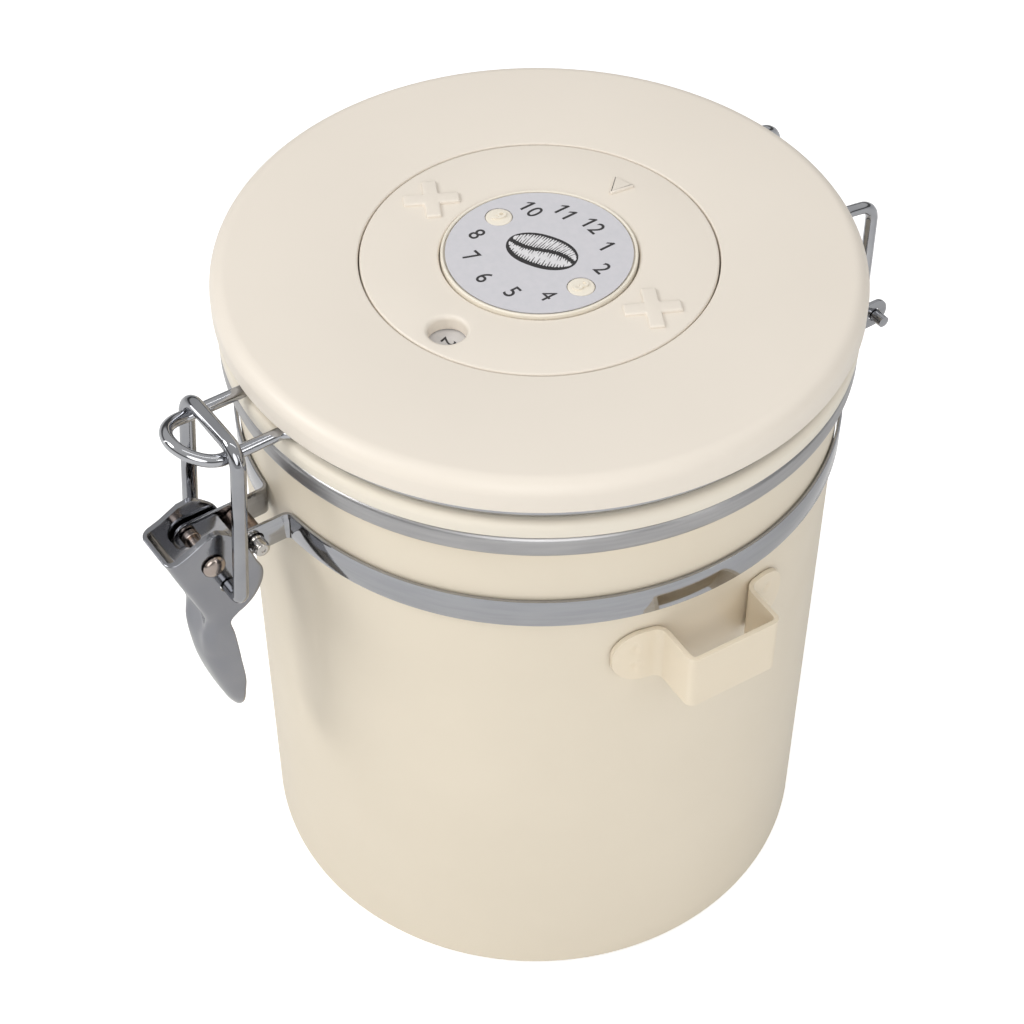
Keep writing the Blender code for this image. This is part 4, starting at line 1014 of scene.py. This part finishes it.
def stroke(line, widths, height, material):
    """A flat brush stroke of changing width along a line."""
    rows = []
    for i, (x, y) in enumerate(line):
        ahead, behind = line[min(i + 1, len(line) - 1)], line[max(i - 1, 0)]
        dx, dy = ahead[0] - behind[0], ahead[1] - behind[1]
        length = math.hypot(dx, dy) or 1
        nx, ny = -dy / length * widths[i] / 2, dx / length * widths[i] / 2
        rows.append(((x - nx, y - ny, height), (x + nx, y + ny, height)))
    return flat_piece("stroke", material, rows)


def bean_rim(share, side):
    """Half width of a plain bean at a share of its length: an oval, a little fuller at one end."""
    return BEAN_WIDE * math.sqrt(max(1 - abs(share) ** 2.3, 0)) * (1 + 0.06 * share * side)


def slit(share):
    """The bean's crease: a flat S from end to end."""
    return 0.75 * math.sin(math.pi * share) + 0.3 * (1 - share * share)


def bean_picture():
    """A plain bean in flat print: a dark ground, two pale halves and dark shading strokes."""
    turn, middle = 24.0, (0.3, 0.4)
    ground, light, dark = 150.508, 150.518, 150.528
    columns, lines = 96, 24
    edge = []
    for i in range(-40, 41):
        s = math.sin(math.pi / 2 * (i / 40))
        edge.append([(BEAN_LONG * s, side * bean_rim(s, side), ground) for side in (-1, 1)])
    parts = [flat_piece("bean_ground", picture_ink, edge[1:-1])]
    for side, border, gap in ((1, 0.7, 0.55), (-1, 1.05, 0.5)):
        rows = []
        for i in range(columns + 1):
            s = -0.93 + 1.86 * i / columns
            ragged = 0.12 * math.sin(i * 2.4) + 0.09 * math.sin(i * 1.3 + side)
            near = side * slit(s) + gap + ragged
            far = bean_rim(s, side) - border + 0.6 * ragged
            if far - near > 0.1:
                rows.append([(BEAN_LONG * s, side * across, light) for across in (near, far)])
        parts.append(flat_piece("bean_half", picture_paper, rows))
        for row in range(lines):
            s = -0.86 + 1.72 * (row + 0.5) / lines
            lean = 0.5 + 0.9 * s
            near, far = side * slit(s) + gap - 0.15, bean_rim(s, side) - border + 0.15
            if far - near < 0.5:
                continue
            length = 0.62 + 0.3 * math.sin(row * 2.1) if side == 1 else 0.3 + 0.16 * math.sin(row * 1.7)
            for first, last, thick in ((0, length, 0.2), (1, 1 - 0.36 - 0.14 * math.cos(row * 2.9), 0.25)):
                line, widths = [], []
                for j in range(9):
                    t = first + (last - first) * j / 8
                    x = BEAN_LONG * s + lean * (t - 0.5) * 0.8
                    line.append((x, side * (near + (far - near) * t)))
                    widths.append(thick * (1 - j / 8) ** 0.6 + 0.01)
                parts.append(stroke(line, widths, dark, picture_ink))
    picture = join(parts, "bean_picture")
    place_on_lid(picture, turn, *middle, 0)
    return finish(picture, "month_dial", None)


# ---- pieces under the lid

def under_lid():
    """Washer and screw of the dial, and the valve's flap, felt and cap."""
    top = 143.3
    outline = [(1.8, top - 0.5), (5.3, top - 0.5), (5.5, top - 0.4)]
    outline += [(5.5, top - 0.1), (5.3, top), (1.8, top)]
    washer = turned("dial_washer_flat", outline, 48)
    finish(washer, "lid", washer_metal, ["dial_washer"])

    head, shank = 142.5, 1.5
    low = head - 0.9
    outline = [(0, low), (2.2, low), *arc((2.7, head - 0.4), 0.5, -90, 0, 4), (3.2, head)]
    outline += [(shank, head), (shank, head + 6.4), (shank - 0.2, head + 6.6), (0, head + 6.6)]
    screw = turned("dial_screw_pan_head", outline, 48, False)
    for turn in (0, 90):
        let_go()
        bpy.ops.mesh.primitive_cube_add(size=1, location=(0, 0, low * MM))
        slot = bpy.context.active_object
        slot.scale = (3.2 * MM, 0.6 * MM, 0.9 * MM)
        slot.rotation_euler = (0, 0, math.radians(turn))
        combine(screw, slot, "DIFFERENCE")
    finish(screw, "lid", zinc, ["dial_screw"])

    top, stem = 138.65, 1.2
    outline = [(0, top - 0.8), (8.0, top - 0.8), (8.4, top - 0.55), (8.5, top - 0.2), (8.3, top)]
    outline += [(stem, top), (stem, top + 2.1), (stem - 0.2, top + 2.3), (0, top + 2.3)]
    flap = turned("valve_flap_silicone", outline, 64, False)
    finish(flap, "lid", flap_white, ["valve_flap"])

    top, low, outer = 137.55, 136.35, 11.7
    outline = [(0, low), (11.5, low), (outer, low + 0.2), (outer, top - 0.2), (11.5, top), (0, top)]
    felt = turned("valve_filter_felt", outline, 64, False)
    finish(felt, "lid", felt_white, ["valve_filter"])

    top, thick = 136.05, 1.4
    low = top - thick
    outline = [(0, low), (11.3, low), *arc((11.3, low + 0.4), 0.4, -90, 0, 4), (outer, top), (0, top)]
    cap = turned("valve_cap_moulding", outline, 96, False)
    drill_ring(cap, 6, 6.5, 1.1, low + thick / 2, 2)
    finish(cap, "lid", cap_cream, ["valve_cap"])


steel_can()
clamp_strip()
clamp_pins()
hinge_strip()
spoon_loop()
lever()
bail()
lid_loop()
lid_mouldings()
days()
outer_disc()
inner_dial()
bean_picture()
under_lid()


# ---- floor, light and camera

def pale_floor():
    """The floor that the canister stands on, lit up a little for the camera alone."""
    pale, glow_strength = 0.86, 0.45
    let_go()
    bpy.ops.mesh.primitive_plane_add(size=6)
    floor = bpy.context.active_object
    floor.name = "pale_floor"
    material, tree, shader = new_finish("pale_floor_matt")
    shader.inputs["Base Color"].default_value = (pale, pale, pale, 1)
    shader.inputs["Roughness"].default_value = 0.9
    shader.inputs["Emission Color"].default_value = (1, 1, 1, 1)
    path = add(tree, "LightPath")
    glow = add(tree, "Math")
    glow.operation = "MULTIPLY"
    glow.inputs[1].default_value = glow_strength
    tree.links.new(path.outputs["Is Camera Ray"], glow.inputs[0])
    tree.links.new(glow.outputs[0], shader.inputs["Emission Strength"])
    floor.data.materials.append(material)


def soft_room():
    """A pale room with a darker band for the bright metal to show, and white to the camera."""
    world = bpy.data.worlds.new("soft_room")
    bpy.context.scene.world = world
    world.use_nodes = True
    tree = world.node_tree
    back = tree.nodes["Background"]
    split = add(tree, "SeparateXYZ")
    tree.links.new(add(tree, "TexCoord").outputs["Generated"], split.inputs[0])
    ramp = add(tree, "ValToRGB")
    stops = ramp.color_ramp.elements
    for stop in stops:
        stop.color = (0.7, 0.7, 0.7, 1)
    for position, level in ((0.04, 0.7), (0.1, 0.12), (0.28, 0.1), (0.38, 0.66)):
        stops.new(position).color = (level, level, level, 1)
    tree.links.new(split.outputs["Z"], ramp.inputs["Fac"])
    tree.links.new(ramp.outputs["Color"], back.inputs["Color"])
    back.inputs["Strength"].default_value = 0.95
    seen = add(tree, "Background", Color=(1, 1, 1, 1))
    mix = add(tree, "MixShader")
    tree.links.new(add(tree, "LightPath").outputs["Is Camera Ray"], mix.inputs[0])
    tree.links.new(back.outputs[0], mix.inputs[1])
    tree.links.new(seen.outputs[0], mix.inputs[2])
    tree.links.new(mix.outputs[0], tree.nodes["World Output"].inputs["Surface"])


def lamp(name, place, aim, size, power, wide=0.0):
    """A soft lamp aimed at a place: round, or a strip when it is given a width."""
    let_go()
    bpy.ops.object.light_add(type="AREA", location=place)
    light = bpy.context.active_object
    light.name = name
    light.data.shape = "RECTANGLE" if wide else "DISK"
    light.data.size = wide or size
    if wide:
        light.data.size_y = size
    light.data.energy = power
    light.rotation_euler = (Vector(aim) - Vector(place)).to_track_quat("-Z", "Y").to_euler()


def camera():
    """The photo's view, with place, heading, tilt and lens fitted to the photo's ellipses."""
    place, heading = (0.27949, -0.19762, 0.43000), (-0.82512, 0.56495)
    tilt = math.radians(45.64)
    look = Vector((heading[0] * math.cos(tilt), heading[1] * math.cos(tilt), -math.sin(tilt)))
    bpy.ops.object.camera_add(location=place)
    eye = bpy.context.active_object
    eye.rotation_euler = look.to_track_quat("-Z", "Y").to_euler()
    eye.data.lens = 81.70
    eye.data.sensor_width = 36
    eye.data.clip_start = 0.01
    bpy.context.scene.camera = eye


let_go()
pale_floor()
soft_room()
lamp("key_lamp", (-0.35, -0.75, 0.75), (0, 0, 0.08), 0.4, 3.7)
lamp("front_lamp", (0.78, -0.54, 0.62), (0, 0, 0.08), 0.8, 3.8)
lamp("left_strip", (-0.75, -0.85, 0.4), (0, 0, 0.1), 0.9, 0.6, 0.05)
lamp("right_strip", (0.95, 0.3, 0.45), (0, 0, 0.1), 0.9, 0.8, 0.06)
lamp("top_strip", (0.1, 0.25, 1.1), (0, 0, 0.1), 0.9, 0.7, 0.06)
camera()

view = bpy.context.scene.view_settings
view.view_transform = "Standard"
